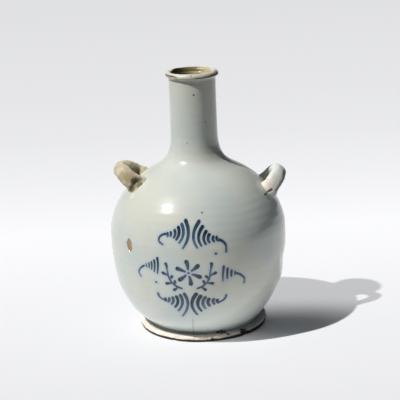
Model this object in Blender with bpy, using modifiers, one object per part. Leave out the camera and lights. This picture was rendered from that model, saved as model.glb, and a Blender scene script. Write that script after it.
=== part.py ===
"""Pottery water jug of tin-glazed earthenware, built from the pieces that a potter throws, pulls and lutes.

Metres, +Z up. The origin is on the jug's axis, at the face it stands on. The painted front faces -Y and
+X is the right-hand side. The bowl, shoulder, neck, lip and foot are turned about the Z axis. Two pulled
strap lugs stand up from the shoulder, each with its two ends thumbed into a wad of clay.
"""
import math

import bmesh
import bpy
from mathutils import Matrix, Vector

# The belly: two rounded quarters that meet at its widest ring. The lower one would close below the ground.
BELLY_RADIUS = 0.0917
BELLY_HEIGHT = 0.103
BOWL_POLE_DROP = 0.009
SHOULDER_RISE = 0.0777
BODY_WALL = 0.006
BOWL_ROUNDNESS = 2.45
SHOULDER_ROUNDNESS = 1.91
BOWL_POWER = 2.0 / BOWL_ROUNDNESS
SHOULDER_POWER = 2.0 / SHOULDER_ROUNDNESS
BOWL_DEPTH = BELLY_HEIGHT + BOWL_POLE_DROP

# The flare, which starts below the shoulder's crown and rises into the neck
FLARE_DROP = 0.0122
FLARE_RISE = 0.0385
FLARE_FOOT_SHARE = 0.70
FLARE_TOP_SHARE = 0.69
FLARE_LOW = BELLY_HEIGHT + SHOULDER_RISE - FLARE_DROP
FLARE_HIGH = FLARE_LOW + FLARE_RISE

# The neck and its rolled lip
NECK_RADIUS = 0.0242
NECK_TAPER = 0.0003
NECK_LENGTH = 0.0568
NECK_WALL = 0.004
LIP_HEIGHT = 0.0062
LIP_OVERHANG = 0.0033
MOUTH_FLARE = 0.0016
NECK_TOP = FLARE_HIGH + NECK_LENGTH
NECK_TOP_RADIUS = NECK_RADIUS - NECK_TAPER
BORE_TOP_RADIUS = NECK_TOP_RADIUS - NECK_WALL
HEIGHT = NECK_TOP + LIP_HEIGHT

# The foot, a flange that stands out past the bowl, and the floor disc inside it
FOOT_HEIGHT = 0.006
FOOT_OVERHANG = 0.011
FOOT_EDGE_ROUND = 0.0012
FLOOR_RECESS = 0.002
FLOOR_STEP = 0.003
FLOOR_LEDGE = 0.0077
FLOOR_EDGE_ROUND = 0.001
LARGEST_ROUND_SHARE = 0.4
FLOOR_TOP = FOOT_HEIGHT + FLOOR_STEP

# Where the pieces are luted together
LUTING_GAP = 0.0003
NECK_SEAT_RISE = 0.0035
SCARF_DROP = 0.002
NECK_SEAT = FLARE_LOW + NECK_SEAT_RISE

# Strap lugs: their roots lie a drop below the flare, their widths run along the hole's axis, and their
# tilts and azimuths are in degrees
STRAP_THICKNESS = 0.0115
STRAP_ROOT_THICKNESS = 0.009
STRAP_BED = 0.0022
STRAP_TUCK = 0.005
ARCH_ROUNDNESS = 1.9
RIGHT_LUG_AZIMUTH = 0.0
RIGHT_LUG_TILT = 51.0
RIGHT_LUG_DROP = 0.0235
RIGHT_LUG_SPREAD = 0.0295
RIGHT_LUG_REACH = 0.02
RIGHT_LUG_WIDTH = 0.0165
RIGHT_LUG_ROOT_WIDTH = 0.0175
LEFT_LUG_AZIMUTH = -173.0
LEFT_LUG_TILT = 39.0
LEFT_LUG_DROP = 0.0105
LEFT_LUG_SPREAD = 0.0285
LEFT_LUG_REACH = 0.0225
LEFT_LUG_WIDTH = 0.0155
LEFT_LUG_ROOT_WIDTH = 0.0232

# Wads of clay round the roots of the straps
WAD_MARGIN = 0.0035
WAD_RISE = 0.0048

# Fineness of the round forms
TURN_STEPS = 48
BOWL_POINTS = 10
SHOULDER_POINTS = 9
FLARE_POINTS = 7
LIP_POINTS = 5
STRAP_SECTIONS = 15
STRAP_SIDES = 14
WAD_SIDES = 16
WAD_RINGS = 8
SEAM_MERGE = 0.00001

COLOURS = {
    "glaze": ((0.70, 0.74, 0.72), 0.22),
    "worn_lip": ((0.66, 0.63, 0.54), 0.35),
    "raw_clay": ((0.78, 0.67, 0.55), 0.85),
    "stained_clay": ((0.60, 0.53, 0.38), 0.75),
}


def clear_scene():
    """Empty the scene, so that the script gives the same jug each time."""
    for item in list(bpy.data.objects):
        bpy.data.objects.remove(item, do_unlink=True)


def new_collection(name):
    collection = bpy.data.collections.get(name) or bpy.data.collections.new(name)
    if collection.name not in bpy.context.scene.collection.children:
        bpy.context.scene.collection.children.link(collection)
    return collection


def finish(name):
    """A plain finish for one piece, from the table of colours."""
    colour, roughness = COLOURS[name]
    material = bpy.data.materials.new(name)
    material.use_nodes = True
    shader = material.node_tree.nodes["Principled BSDF"]
    shader.inputs["Base Color"].default_value = (*colour, 1.0)
    shader.inputs["Roughness"].default_value = roughness
    shader.inputs["Metallic"].default_value = 0.0
    return material


def add_object(name, mesh, collection):
    item = bpy.data.objects.new(name, mesh)
    collection.objects.link(item)
    return item


def superellipse(radius, depth, power, angle):
    """A point of a rounded quarter: out from the axis, and along it from the widest ring."""
    return radius * math.cos(angle) ** power, depth * math.sin(angle) ** power


def angle_at(share, power):
    """The angle of a rounded quarter at a share of its depth, from 0 at its widest ring to 1 at its pole."""
    return math.asin(min(share, 1.0) ** (1.0 / power))


def belly_radius_at(height):
    """Outer radius of the bowl or the shoulder at a height below the flare."""
    if height < BELLY_HEIGHT:
        angle = angle_at((BELLY_HEIGHT - height) / BOWL_DEPTH, BOWL_POWER)
        return superellipse(BELLY_RADIUS, BOWL_DEPTH, BOWL_POWER, angle)[0]
    angle = angle_at((height - BELLY_HEIGHT) / SHOULDER_RISE, SHOULDER_POWER)
    return superellipse(BELLY_RADIUS, SHOULDER_RISE, SHOULDER_POWER, angle)[0]


def belly_slope_at(height):
    """Unit vector down the shoulder's outline, as radius and height."""
    share = (height - BELLY_HEIGHT) / SHOULDER_RISE
    bulge = (1.0 - share ** SHOULDER_ROUNDNESS) ** (1.0 / SHOULDER_ROUNDNESS - 1.0)
    spread = BELLY_RADIUS / SHOULDER_RISE * share ** (SHOULDER_ROUNDNESS - 1.0) * bulge
    return Vector((spread, -1.0)).normalized()


def foot_radius():
    return belly_radius_at(FOOT_HEIGHT) + FOOT_OVERHANG


def floor_radius():
    """Radius of the round opening that the foot ring and the bowl leave for the floor disc."""
    return belly_radius_at(FLOOR_TOP) - BODY_WALL - FLOOR_LEDGE


def limited_round(size, thickness):
    """An edge's rounding, kept under its share of the piece that carries it."""
    return min(size, thickness * LARGEST_ROUND_SHARE)


def flare_outline():
    """The hollow curve from the neck down to the shoulder, as a Bezier curve."""
    top = Vector((NECK_RADIUS, FLARE_HIGH))
    foot = Vector((belly_radius_at(FLARE_LOW), FLARE_LOW))
    foot_pull = FLARE_FOOT_SHARE * (foot.x - top.x)
    top_handle = top - Vector((0.0, FLARE_TOP_SHARE * FLARE_RISE))
    foot_handle = foot - foot_pull * belly_slope_at(FLARE_LOW)
    points = []
    for index in range(FLARE_POINTS + 1):
        t = index / FLARE_POINTS
        s = 1.0 - t
        points.append(s ** 3 * top + 3 * s * s * t * top_handle + 3 * s * t * t * foot_handle + t ** 3 * foot)
    return points


def outer_outline():
    """The jug's outline from the top of the neck down to the foot, as points of radius and height."""
    points = [Vector((NECK_TOP_RADIUS, NECK_TOP))]
    points += flare_outline()
    steepest = angle_at((FLARE_LOW - BELLY_HEIGHT) / SHOULDER_RISE, SHOULDER_POWER)
    for index in range(1, SHOULDER_POINTS + 1):
        angle = steepest * (1.0 - index / SHOULDER_POINTS)
        out, up = superellipse(BELLY_RADIUS, SHOULDER_RISE, SHOULDER_POWER, angle)
        points.append(Vector((out, BELLY_HEIGHT + up)))
    steepest = angle_at((BELLY_HEIGHT - FOOT_HEIGHT) / BOWL_DEPTH, BOWL_POWER)
    for index in range(1, BOWL_POINTS + 1):
        angle = steepest * index / BOWL_POINTS
        out, down = superellipse(BELLY_RADIUS, BOWL_DEPTH, BOWL_POWER, angle)
        points.append(Vector((out, BELLY_HEIGHT - down)))
    return points


def wall_at(height):
    """Wall thickness: the neck's above the flare, the body's below it, and between them a steady change."""
    share = (height - FLARE_LOW) / FLARE_RISE
    share = min(max(share, 0.0), 1.0)
    return BODY_WALL + (NECK_WALL - BODY_WALL) * share


def offset_outline(points, distance_at):
    """The outline moved inwards along its normals by a distance that depends on height."""
    moved = []
    for index, point in enumerate(points):
        before = points[max(index - 1, 0)]
        after = points[min(index + 1, len(points) - 1)]
        along = (after - before).normalized()
        inwards = Vector((along.y, -along.x))
        moved.append(point + inwards * distance_at(point.y))
    return moved


def stretch(points, high, low):
    """The part of a falling outline between two heights, with its ends on those heights."""
    def at_height(height):
        for above, below in zip(points, points[1:]):
            if above.y >= height >= below.y and above.y > below.y:
                return above.lerp(below, (above.y - height) / (above.y - below.y))
        nearest = min(points, key=lambda point: abs(point.y - height))
        return Vector((nearest.x, height))
    inside = [point for point in points if low + LUTING_GAP < point.y < high - LUTING_GAP]
    return [at_height(high)] + inside + [at_height(low)]


def turned(name, profile, material, collection, closed=True):
    """A piece turned about the Z axis from a profile of radius and height."""
    mesh = bpy.data.meshes.new(name)
    count = len(profile)
    edges = [(index, index + 1) for index in range(count - 1)]
    if closed:
        edges.append((count - 1, 0))
    mesh.from_pydata([(point[0], 0.0, point[1]) for point in profile], edges, [])
    item = add_object(name, mesh, collection)
    screw = item.modifiers.new("turn", "SCREW")
    screw.axis = "Z"
    screw.angle = 2.0 * math.pi
    screw.steps = TURN_STEPS
    screw.render_steps = TURN_STEPS
    screw.use_merge_vertices = True
    screw.merge_threshold = SEAM_MERGE
    screw.use_smooth_shade = True
    if material:
        mesh.materials.append(material)
    return item


def arc(centre, radius_out, radius_up, start, end, count):
    """Points of an elliptical arc, with its ends, from one angle to another in degrees."""
    points = []
    for index in range(count + 1):
        angle = math.radians(start + (end - start) * index / count)
        points.append(centre + Vector((radius_out * math.cos(angle), radius_up * math.sin(angle))))
    return points


def make_lip(material, collection):
    """The lip: a roll of clay that overhangs the neck outside and narrows into the bore."""
    low = NECK_TOP + LUTING_GAP
    mouth = BORE_TOP_RADIUS + MOUTH_FLARE
    half_thickness = (NECK_TOP_RADIUS + LIP_OVERHANG - mouth) / 2.0
    half_height = (HEIGHT - low) / 2.0
    middle = Vector((mouth + half_thickness, HEIGHT - half_height))
    outside = arc(middle, half_thickness, half_height, 90.0, 0.0, LIP_POINTS)
    seat_outer = Vector((NECK_TOP_RADIUS, low))
    seat_inner = Vector((BORE_TOP_RADIUS, low))
    inside = arc(middle, half_thickness, half_height, 180.0, 90.0, LIP_POINTS)
    return turned("lip", outside + [seat_outer, seat_inner] + inside[:-1], material, collection)


def make_neck(outside, inside, material, collection):
    """The neck: a thrown tube that flares out to its seat on the shoulder."""
    seat = NECK_SEAT + LUTING_GAP
    outer = stretch(outside, NECK_TOP, seat)
    inner = stretch(inside, NECK_TOP, seat)
    return turned("neck", outer + inner[::-1], material, collection)


def scarf_edge(outside_height):
    """Outer and inner heights of the bevelled joint between the bowl and the shoulder."""
    return outside_height, outside_height - SCARF_DROP


def make_shoulder(outside, inside, material, collection):
    """The shoulder: the thrown upper half, from the neck's seat down to the widest ring."""
    outer_low, inner_low = scarf_edge(BELLY_HEIGHT + LUTING_GAP)
    outer = stretch(outside, NECK_SEAT, outer_low)
    inner = stretch(inside, NECK_SEAT, inner_low)
    return turned("shoulder", outer + inner[::-1], material, collection)


def make_bowl(outside, inside, material, collection):
    """The bowl: the thrown lower half, open in the middle of its bottom for the floor disc."""
    outer_high, inner_high = scarf_edge(BELLY_HEIGHT)
    seat = FOOT_HEIGHT + LUTING_GAP
    outer = stretch(outside, outer_high, seat)
    inner = stretch(inside, inner_high, FLOOR_TOP)
    bottom = [Vector((floor_radius(), seat)), Vector((floor_radius(), FLOOR_TOP))]
    return turned("bowl", outer + bottom + inner[::-1], material, collection)


def make_foot_ring(material, collection):
    """The foot ring: a flange that stands out past the bowl, with its edges rounded."""
    rounded = limited_round(FOOT_EDGE_ROUND, FOOT_HEIGHT)
    edge = foot_radius() - rounded
    profile = [Vector((floor_radius(), FOOT_HEIGHT))]
    profile += arc(Vector((edge, FOOT_HEIGHT - rounded)), rounded, rounded, 90.0, 0.0, 2)
    profile += arc(Vector((edge, rounded)), rounded, rounded, 0.0, -90.0, 2)
    profile.append(Vector((floor_radius(), 0.0)))
    return turned("foot_ring", profile, material, collection)


def make_floor(material, collection):
    """The floor: a disc inside the foot ring and the bowl, its underside raised off the ground."""
    edge = floor_radius() - LUTING_GAP
    rounded = limited_round(FLOOR_EDGE_ROUND, FLOOR_TOP - FLOOR_RECESS)
    profile = [
        Vector((0.0, FLOOR_TOP)),
        Vector((edge - rounded, FLOOR_TOP)),
        Vector((edge, FLOOR_TOP - rounded)),
        Vector((edge, FLOOR_RECESS)),
        Vector((0.0, FLOOR_RECESS)),
    ]
    return turned("floor", profile, material, collection, closed=False)


def shoulder_point(azimuth, height):
    """A point of the shoulder's outside and the direction that points straight out of the wall there."""
    out = Vector((math.cos(azimuth), math.sin(azimuth), 0.0))
    down = belly_slope_at(height)
    normal = out * -down.y + Vector((0.0, 0.0, down.x))
    return out * belly_radius_at(height) + Vector((0.0, 0.0, height)), normal.normalized()


def lug_layout(azimuth, tilt, drop, spread, reach, width, root_width):
    """Where one lug stands: its roots on the shoulder, the directions of its arch, and its sizes."""
    middle = math.radians(azimuth)
    root_height = FLARE_LOW - drop
    half_angle = math.asin(spread / 2.0 / belly_radius_at(root_height))
    roots = [shoulder_point(middle + side * half_angle, root_height) for side in (-1.0, 1.0)]
    level = math.cos(math.radians(tilt))
    rise = Vector((math.cos(middle) * level, math.sin(middle) * level, math.sin(math.radians(tilt))))
    across = (roots[0][0] - roots[1][0]).normalized()
    return {
        "roots": roots,
        "centre": (roots[0][0] + roots[1][0]) / 2.0,
        "rise": rise,
        "across": across,
        "through": rise.cross(across).normalized(),
        "spread": spread,
        "reach": reach,
        "width": width,
        "root_width": root_width,
    }


def right_lug_layout():
    return lug_layout(RIGHT_LUG_AZIMUTH, RIGHT_LUG_TILT, RIGHT_LUG_DROP, RIGHT_LUG_SPREAD,
                      RIGHT_LUG_REACH, RIGHT_LUG_WIDTH, RIGHT_LUG_ROOT_WIDTH)


def left_lug_layout():
    return lug_layout(LEFT_LUG_AZIMUTH, LEFT_LUG_TILT, LEFT_LUG_DROP, LEFT_LUG_SPREAD,
                      LEFT_LUG_REACH, LEFT_LUG_WIDTH, LEFT_LUG_ROOT_WIDTH)


def arch_points(layout):
    """The middle line of the strap, from one root over the arch to the other."""
    power = 2.0 / ARCH_ROUNDNESS
    points = []
    for index in range(STRAP_SECTIONS):
        angle = math.pi * index / (STRAP_SECTIONS - 1)
        sideways = math.copysign(abs(math.cos(angle)) ** power, math.cos(angle)) * layout["spread"] / 2.0
        upwards = abs(math.sin(angle)) ** power * layout["reach"]
        points.append(layout["centre"] + layout["across"] * sideways + layout["rise"] * upwards)
    return points


def strap_sections(layout, grow):
    """Oval sections along the strap: centre, width direction, thickness direction and two half sizes."""
    points = arch_points(layout)
    sections = []
    for index, point in enumerate(points):
        before = points[max(index - 1, 0)]
        after = points[min(index + 1, len(points) - 1)]
        along = (after - before).normalized()
        root_share = math.cos(math.pi * index / (STRAP_SECTIONS - 1)) ** 2
        width = layout["width"] + (layout["root_width"] - layout["width"]) * root_share
        thickness = STRAP_THICKNESS + (STRAP_ROOT_THICKNESS - STRAP_THICKNESS) * root_share
        side = along.cross(layout["through"]).normalized()
        sections.append((point, layout["through"], side, width / 2.0 + grow, thickness / 2.0 + grow))
    first_way = (points[0] - points[1]).normalized()
    last_way = (points[-1] - points[-2]).normalized()
    first = (points[0] + first_way * STRAP_TUCK, *sections[0][1:])
    last = (points[-1] + last_way * STRAP_TUCK, *sections[-1][1:])
    return [first] + sections + [last]


def ring_matrix(section):
    """The transform that lays a unit circle on one section of the strap."""
    centre, width_way, thickness_way, half_width, half_thickness = section
    normal = width_way.cross(thickness_way)
    columns = (width_way * half_width, thickness_way * half_thickness, normal)
    return Matrix.Translation(centre) @ Matrix(columns).transposed().to_4x4()


def lofted_strap(name, sections, collection):
    """A strap lofted through oval sections, closed at both ends."""
    mesh = bmesh.new()
    rings = []
    for index, section in enumerate(sections):
        capped = index in (0, len(sections) - 1)
        made = bmesh.ops.create_circle(
            mesh, cap_ends=capped, radius=1.0, segments=STRAP_SIDES, matrix=ring_matrix(section))
        rings.append(made["verts"])
    for before, after in zip(rings, rings[1:]):
        both = set(before) | set(after)
        edges = [edge for edge in mesh.edges if edge.verts[0] in both and edge.verts[1] in both]
        loops = [edge for edge in edges if (edge.verts[0] in before) == (edge.verts[1] in before)]
        bmesh.ops.bridge_loops(mesh, edges=loops)
    bmesh.ops.recalc_face_normals(mesh, faces=mesh.faces)
    data = bpy.data.meshes.new(name)
    mesh.to_mesh(data)
    mesh.free()
    data.shade_smooth()
    return add_object(name, data, collection)


def body_space(name, outside, clearance, collection):
    """The space of the bowl, shoulder and neck without their hollow, grown by a clearance, as a cutter."""
    grown = offset_outline(outside, lambda height: -clearance)
    profile = [Vector((0.0, grown[0].y))] + grown + [Vector((0.0, grown[-1].y))]
    return as_cutter(turned(name, profile, None, collection, closed=False))


def as_cutter(item):
    item.hide_render = True
    item.display_type = "WIRE"
    return item


def cut_away(item, cutter):
    cut = item.modifiers.new("cut by " + cutter.name, "BOOLEAN")
    cut.operation = "DIFFERENCE"
    cut.solver = "EXACT"
    cut.object = cutter


def make_wad(name, root, layout, material, collection, cutters):
    """A wad of clay thumbed round one root: a flattened ball cut to the shoulder and to the strap."""
    point, normal = root
    long_way = layout["through"] - normal * layout["through"].dot(normal)
    long_way.normalize()
    short_way = normal.cross(long_way)
    half_length = layout["root_width"] / 2.0 + WAD_MARGIN
    half_breadth = STRAP_ROOT_THICKNESS / 2.0 + WAD_MARGIN
    columns = (long_way * half_length, short_way * half_breadth, normal * WAD_RISE)
    place = Matrix.Translation(point) @ Matrix(columns).transposed().to_4x4()
    mesh = bmesh.new()
    bmesh.ops.create_uvsphere(mesh, u_segments=WAD_SIDES, v_segments=WAD_RINGS, radius=1.0, matrix=place)
    bmesh.ops.recalc_face_normals(mesh, faces=mesh.faces)
    data = bpy.data.meshes.new(name)
    mesh.to_mesh(data)
    mesh.free()
    data.shade_smooth()
    data.materials.append(material)
    item = add_object(name, data, collection)
    for cutter in cutters:
        cut_away(item, cutter)
    return item


def make_lug(name, layout, strap_finish, wad_finish, collection, guides, spaces):
    """One lug: its strap, cut to stand on a bed of clay, and a wad at its front and its back root."""
    strap = lofted_strap(name, strap_sections(layout, 0.0), collection)
    strap.data.materials.append(strap_finish)
    cut_away(strap, spaces["bed"])
    strap_space = as_cutter(lofted_strap(name + "_space", strap_sections(layout, LUTING_GAP), guides))
    cut_away(strap_space, spaces["socket"])
    by_front = sorted(layout["roots"], key=lambda root: root[0].y)
    for end, root in zip(("front", "back"), by_front):
        make_wad(f"{name}_{end}_wad", root, layout, wad_finish, collection, (spaces["wall"], strap_space))


def main():
    clear_scene()
    jug = new_collection("pottery_water_jug")
    guides = new_collection("cutters")
    glaze = finish("glaze")
    worn_lip = finish("worn_lip")
    raw_clay = finish("raw_clay")
    stained_clay = finish("stained_clay")
    outside = outer_outline()
    inside = offset_outline(outside, wall_at)
    make_foot_ring(raw_clay, jug)
    make_floor(raw_clay, jug)
    make_bowl(outside, inside, glaze, jug)
    make_shoulder(outside, inside, glaze, jug)
    make_neck(outside, inside, glaze, jug)
    make_lip(worn_lip, jug)
    spaces = {
        "wall": body_space("wall_space", outside, LUTING_GAP, guides),
        "bed": body_space("bed_space", outside, STRAP_BED, guides),
        "socket": body_space("socket_space", outside, STRAP_BED - LUTING_GAP, guides),
    }
    make_lug("right_lug", right_lug_layout(), glaze, raw_clay, jug, guides, spaces)
    make_lug("left_lug", left_lug_layout(), stained_clay, stained_clay, jug, guides, spaces)


main()
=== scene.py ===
# %% [markdown]
# # A tin-glazed water jug
# The packed CAD model gives the sizes and places of the jug's pieces. This lesson dresses it: a thrown pot
# under a bluish-white glaze, two pulled strap lugs, a worn lip, a bare foot, and cobalt brushwork on the
# front. Lengths are in metres and +Z is up. The painted front faces -Y.

# %% Load the packed jug
import bisect
import math
import random

import bmesh
import bpy
from mathutils import Matrix, Vector, kdtree, noise


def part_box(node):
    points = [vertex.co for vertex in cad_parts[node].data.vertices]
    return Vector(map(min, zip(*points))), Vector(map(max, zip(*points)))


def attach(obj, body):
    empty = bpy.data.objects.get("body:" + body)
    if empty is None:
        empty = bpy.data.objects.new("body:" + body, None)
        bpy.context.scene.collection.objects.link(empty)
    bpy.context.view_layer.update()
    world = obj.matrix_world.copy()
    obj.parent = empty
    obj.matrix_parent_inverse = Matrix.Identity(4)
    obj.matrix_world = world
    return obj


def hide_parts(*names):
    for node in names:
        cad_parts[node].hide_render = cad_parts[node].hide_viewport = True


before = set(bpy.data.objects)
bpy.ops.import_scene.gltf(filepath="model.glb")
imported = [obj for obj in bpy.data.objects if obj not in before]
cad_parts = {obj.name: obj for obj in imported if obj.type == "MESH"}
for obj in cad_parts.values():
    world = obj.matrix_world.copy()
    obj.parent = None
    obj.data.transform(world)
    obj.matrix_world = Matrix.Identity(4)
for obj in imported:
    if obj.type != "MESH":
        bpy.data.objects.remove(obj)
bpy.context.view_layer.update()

# %% [markdown]
# ## Sizes
# Every size that a CAD node shows is read from that node, so the pieces stay where the solids are. The
# curves between them have no node of their own, so their few values are named here: the belly is two
# rounded quarters, and a hollow flare leads from the shoulder into the neck.

# %% Sizes read from the frame
MM = 0.001
BELLY_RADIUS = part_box("bowl")[1].x
BELLY_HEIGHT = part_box("bowl")[1].z
FOOT_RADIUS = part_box("foot_ring")[1].x
FOOT_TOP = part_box("foot_ring")[1].z
FLOOR_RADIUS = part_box("floor")[1].x
FLOOR_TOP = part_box("floor")[1].z
LIP_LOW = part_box("lip")[0].z
LIP_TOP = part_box("lip")[1].z
print("belly radius", round(BELLY_RADIUS / MM, 2), "mm, total height", round(LIP_TOP / MM, 1), "mm")

# %% The belly's outline
BOWL_DEPTH, BOWL_ROUNDNESS = 112.0 * MM, 2.45
SHOULDER_RISE, SHOULDER_ROUNDNESS = 77.7 * MM, 1.91


def belly_radius(height):
    """Radius of the thrown belly, without the flare, at a height."""
    if height < BELLY_HEIGHT:
        depth, roundness = BOWL_DEPTH, BOWL_ROUNDNESS
    else:
        depth, roundness = SHOULDER_RISE, SHOULDER_ROUNDNESS
    share = min(abs(height - BELLY_HEIGHT) / depth, 1.0)
    return BELLY_RADIUS * (1.0 - share ** roundness) ** (1.0 / roundness)


print("radius where the bowl meets the foot:", round(belly_radius(FOOT_TOP) / MM, 2), "mm")

# %% The flare and the neck
FLARE_FOOT, FLARE_TOP = 168.5 * MM, 207.0 * MM
FLARE_FOOT_PULL, FLARE_TOP_PULL = 0.70, 0.69
NECK_RADIUS, NECK_TOP_RADIUS = 24.2 * MM, 23.9 * MM


def flare_points(count=160):
    """The hollow curve from the neck down to the shoulder, as heights and radii that rise."""
    top = Vector((NECK_RADIUS, FLARE_TOP))
    foot = Vector((belly_radius(FLARE_FOOT), FLARE_FOOT))
    step = 0.1 * MM
    outwards = belly_radius(FLARE_FOOT - step) - belly_radius(FLARE_FOOT + step)
    fall = Vector((outwards, -2.0 * step)).normalized()
    top_handle = top - Vector((0.0, FLARE_TOP_PULL * (FLARE_TOP - FLARE_FOOT)))
    foot_handle = foot - FLARE_FOOT_PULL * (foot.x - top.x) * fall
    points = []
    for index in range(count + 1):
        t = index / count
        s = 1.0 - t
        point = s ** 3 * foot + 3 * s * s * t * foot_handle + 3 * s * t * t * top_handle + t ** 3 * top
        points.append((point.y, point.x))
    return points


FLARE = flare_points()
print("flare:", len(FLARE), "points")

# %% One radius for every height


def outline_radius(height):
    """Radius of the jug's ideal outside at any height from the foot to the lip."""
    if height <= FLARE_FOOT:
        return belly_radius(height)
    if height >= FLARE_TOP:
        share = (height - FLARE_TOP) / (LIP_LOW - FLARE_TOP)
        return NECK_RADIUS + (NECK_TOP_RADIUS - NECK_RADIUS) * share
    after = bisect.bisect_left(FLARE, (height, 0.0))
    (low, low_radius), (high, high_radius) = FLARE[after - 1], FLARE[after]
    return low_radius + (high_radius - low_radius) * (height - low) / (high - low)


heights = (50, 150, 190, 250)
print("at heights of", heights, "mm the radii are", [round(outline_radius(h * MM) / MM, 1) for h in heights])

# %% Places round the axis


def around(azimuth, radius, height, right=0.0):
    """The point at an azimuth, radius and height round an axis that may lie to the right of the jug's own."""
    return Vector((math.cos(azimuth) * radius + right, math.sin(azimuth) * radius, height))


def polar(point):
    """The azimuth and the radius of a point."""
    return math.atan2(point.y, point.x), math.hypot(point.x, point.y)


print("a place 0.1 m out at 45 degrees:", [round(value, 3) for value in around(math.pi / 4, 0.1, 0.0)])

# %% [markdown]
# ## The potter's hand
# A thrown pot is never a true solid of revolution: the fingers leave a shallow spiral, the wall swells and
# slims a little, the neck leans, and the foot isn't quite under the middle. One function gives that departure
# for any place on the wall, and every piece that sits on the pot uses it too, so the lugs and the painting
# stay on the clay. It never pushes the belly past its widest ring.

# %% How the thrown wall departs from its ideal outline
RING_PITCH, RING_DEPTH = 7.5 * MM, 0.07 * MM
SWELL, SWELL_SIZE = 0.3 * MM, 70.0 * MM
NECK_LEAN, FOOT_SHIFT = 0.3 * MM, 2.0 * MM
WALL_LIMIT, HAND_LIMIT = BELLY_RADIUS - 0.1 * MM, BELLY_RADIUS - 0.12 * MM
WALL_PLACE_TURN = 0.6  # how far round the pot, in radians, each of the next places reaches
WALL_PLACES = [  # azimuth, height, size and amount of each broad fullness (+) or slimness (-)
    (0.0, 71.0 * MM, 8.0 * MM, -1.3 * MM),
    (0.0, 50.0 * MM, 9.0 * MM, 0.9 * MM),
    (math.pi, 49.0 * MM, 10.0 * MM, 0.8 * MM),
]


def soft_step(low, high, value):
    """0 below low, 1 above high, and a smooth rise between."""
    share = min(max((value - low) / (high - low), 0.0), 1.0)
    return share * share * (3.0 - 2.0 * share)


def turn_between(azimuth, other):
    """The smallest angle between two azimuths."""
    return abs((azimuth - other + math.pi) % (2.0 * math.pi) - math.pi)


def potters_hand(azimuth, height):
    """How far the wall stands outside its ideal radius."""
    where = around(azimuth, 1.0, height / BELLY_RADIUS) * (BELLY_RADIUS / SWELL_SIZE)
    spiral = math.sin(2.0 * math.pi * height / RING_PITCH + azimuth + 1.5 * noise.noise(where * 1.7))
    calm = soft_step(0.0, 0.35, abs(noise.noise(where * 2.3 + Vector((7.0, 1.0, 3.0)))))
    push = SWELL * noise.noise(where) + RING_DEPTH * spiral * (0.4 + 0.6 * calm)
    for middle, level, size, amount in WALL_PLACES:
        away = (turn_between(azimuth, middle) / WALL_PLACE_TURN) ** 2 + ((height - level) / size) ** 2
        push += amount * math.exp(-away)
    room = max(HAND_LIMIT - outline_radius(height), 0.0)
    return push if push <= 0.0 else push * room / (room + push)


def sideways(height):
    """How far the axis lies to the right at a height: the neck leans, and the foot was set off centre."""
    return (NECK_LEAN * soft_step(190.0 * MM, LIP_TOP, height)
            + FOOT_SHIFT * (1.0 - soft_step(6.0 * MM, 24.0 * MM, height)))


def on_wall(azimuth, height, proud=0.0):
    """A point of the glazed outside, or a little proud of it."""
    radius = min(outline_radius(height) + potters_hand(azimuth, height), WALL_LIMIT) + proud
    return around(azimuth, radius, height, sideways(height))


print("front of the belly, mm:", [round(value / MM, 2) for value in on_wall(-math.pi / 2, BELLY_HEIGHT)])

# %% [markdown]
# ## Shared helpers
# A turned piece starts as a row of vertices in the XZ plane, joined by edges and spun round Z. The row is
# closed, or starts and ends on the axis, so that the spun piece is a real solid. A Screw modifier would do
# the same, but the mesh is needed at once here, to be dented. Curves through a few given points are
# smoothed first.

# %% A smooth curve through a few points


def in_mm(points):
    """Points written in millimetres, as vectors in metres."""
    return [Vector(point) * MM for point in points]


def smooth_through(points, steps):
    """A Catmull-Rom curve through points on a plane, with a number of steps between each two."""
    points = [Vector(point) for point in points]
    curve = []
    for index in range(len(points) - 1):
        before = points[max(index - 1, 0)]
        start, end = points[index], points[index + 1]
        after = points[min(index + 2, len(points) - 1)]
        for step in range(steps):
            t = step / steps
            curve.append(0.5 * (2.0 * start + (end - before) * t
                                + (2.0 * before - 5.0 * start + 4.0 * end - after) * t * t
                                + (3.0 * start - before - 3.0 * end + after) * t ** 3))
    return curve + [points[-1]]


def even_rows(radius_at, high, low, step):
    """Points down an outline between two heights, evenly spaced along it."""
    fine = 0.1 * MM
    points = [Vector((radius_at(high), high))]
    walked, height = 0.0, high
    while height > low + fine:
        before = Vector((radius_at(height), height))
        height -= fine
        here = Vector((radius_at(height), height))
        walked += (here - before).length
        if walked >= step:
            points.append(here)
            walked = 0.0
    return points


print("rows of a 10 mm stretch of the neck:", len(even_rows(outline_radius, 250 * MM, 240 * MM, 1.6 * MM)))

# %% Spin a profile and finish a piece


def spun(profile, columns, closed=True):
    """A bmesh spun round Z from a profile of radius and height, with its faces pointing outwards."""
    mesh = bmesh.new()
    verts = [mesh.verts.new((point[0], 0.0, point[1])) for point in profile]
    first = 0 if closed else 1
    edges = [mesh.edges.new((verts[index - 1], verts[index])) for index in range(first, len(verts))]
    bmesh.ops.spin(mesh, geom=verts + edges, cent=(0, 0, 0), axis=(0, 0, 1), angle=2.0 * math.pi,
                   steps=columns, use_merge=True)
    bmesh.ops.remove_doubles(mesh, verts=mesh.verts, dist=0.002 * MM)
    bmesh.ops.recalc_face_normals(mesh, faces=mesh.faces)
    return mesh


def add_piece(name, mesh):
    """Turn a bmesh into an object at the origin, smooth shaded."""
    data = bpy.data.meshes.new(name)
    mesh.to_mesh(data)
    mesh.free()
    data.shade_smooth()
    piece = bpy.data.objects.new(name, data)
    bpy.context.scene.collection.objects.link(piece)
    print(name, "has", sum(len(face.vertices) - 2 for face in data.polygons), "triangles")
    return piece


def mark(piece, name, value_at):
    """Store a number from 0 to 1 on every vertex, for a material to read."""
    layer = piece.data.attributes.new(name, "FLOAT", "POINT")
    layer.data.foreach_set("value", [value_at(vertex.co) for vertex in piece.data.vertices])


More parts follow.
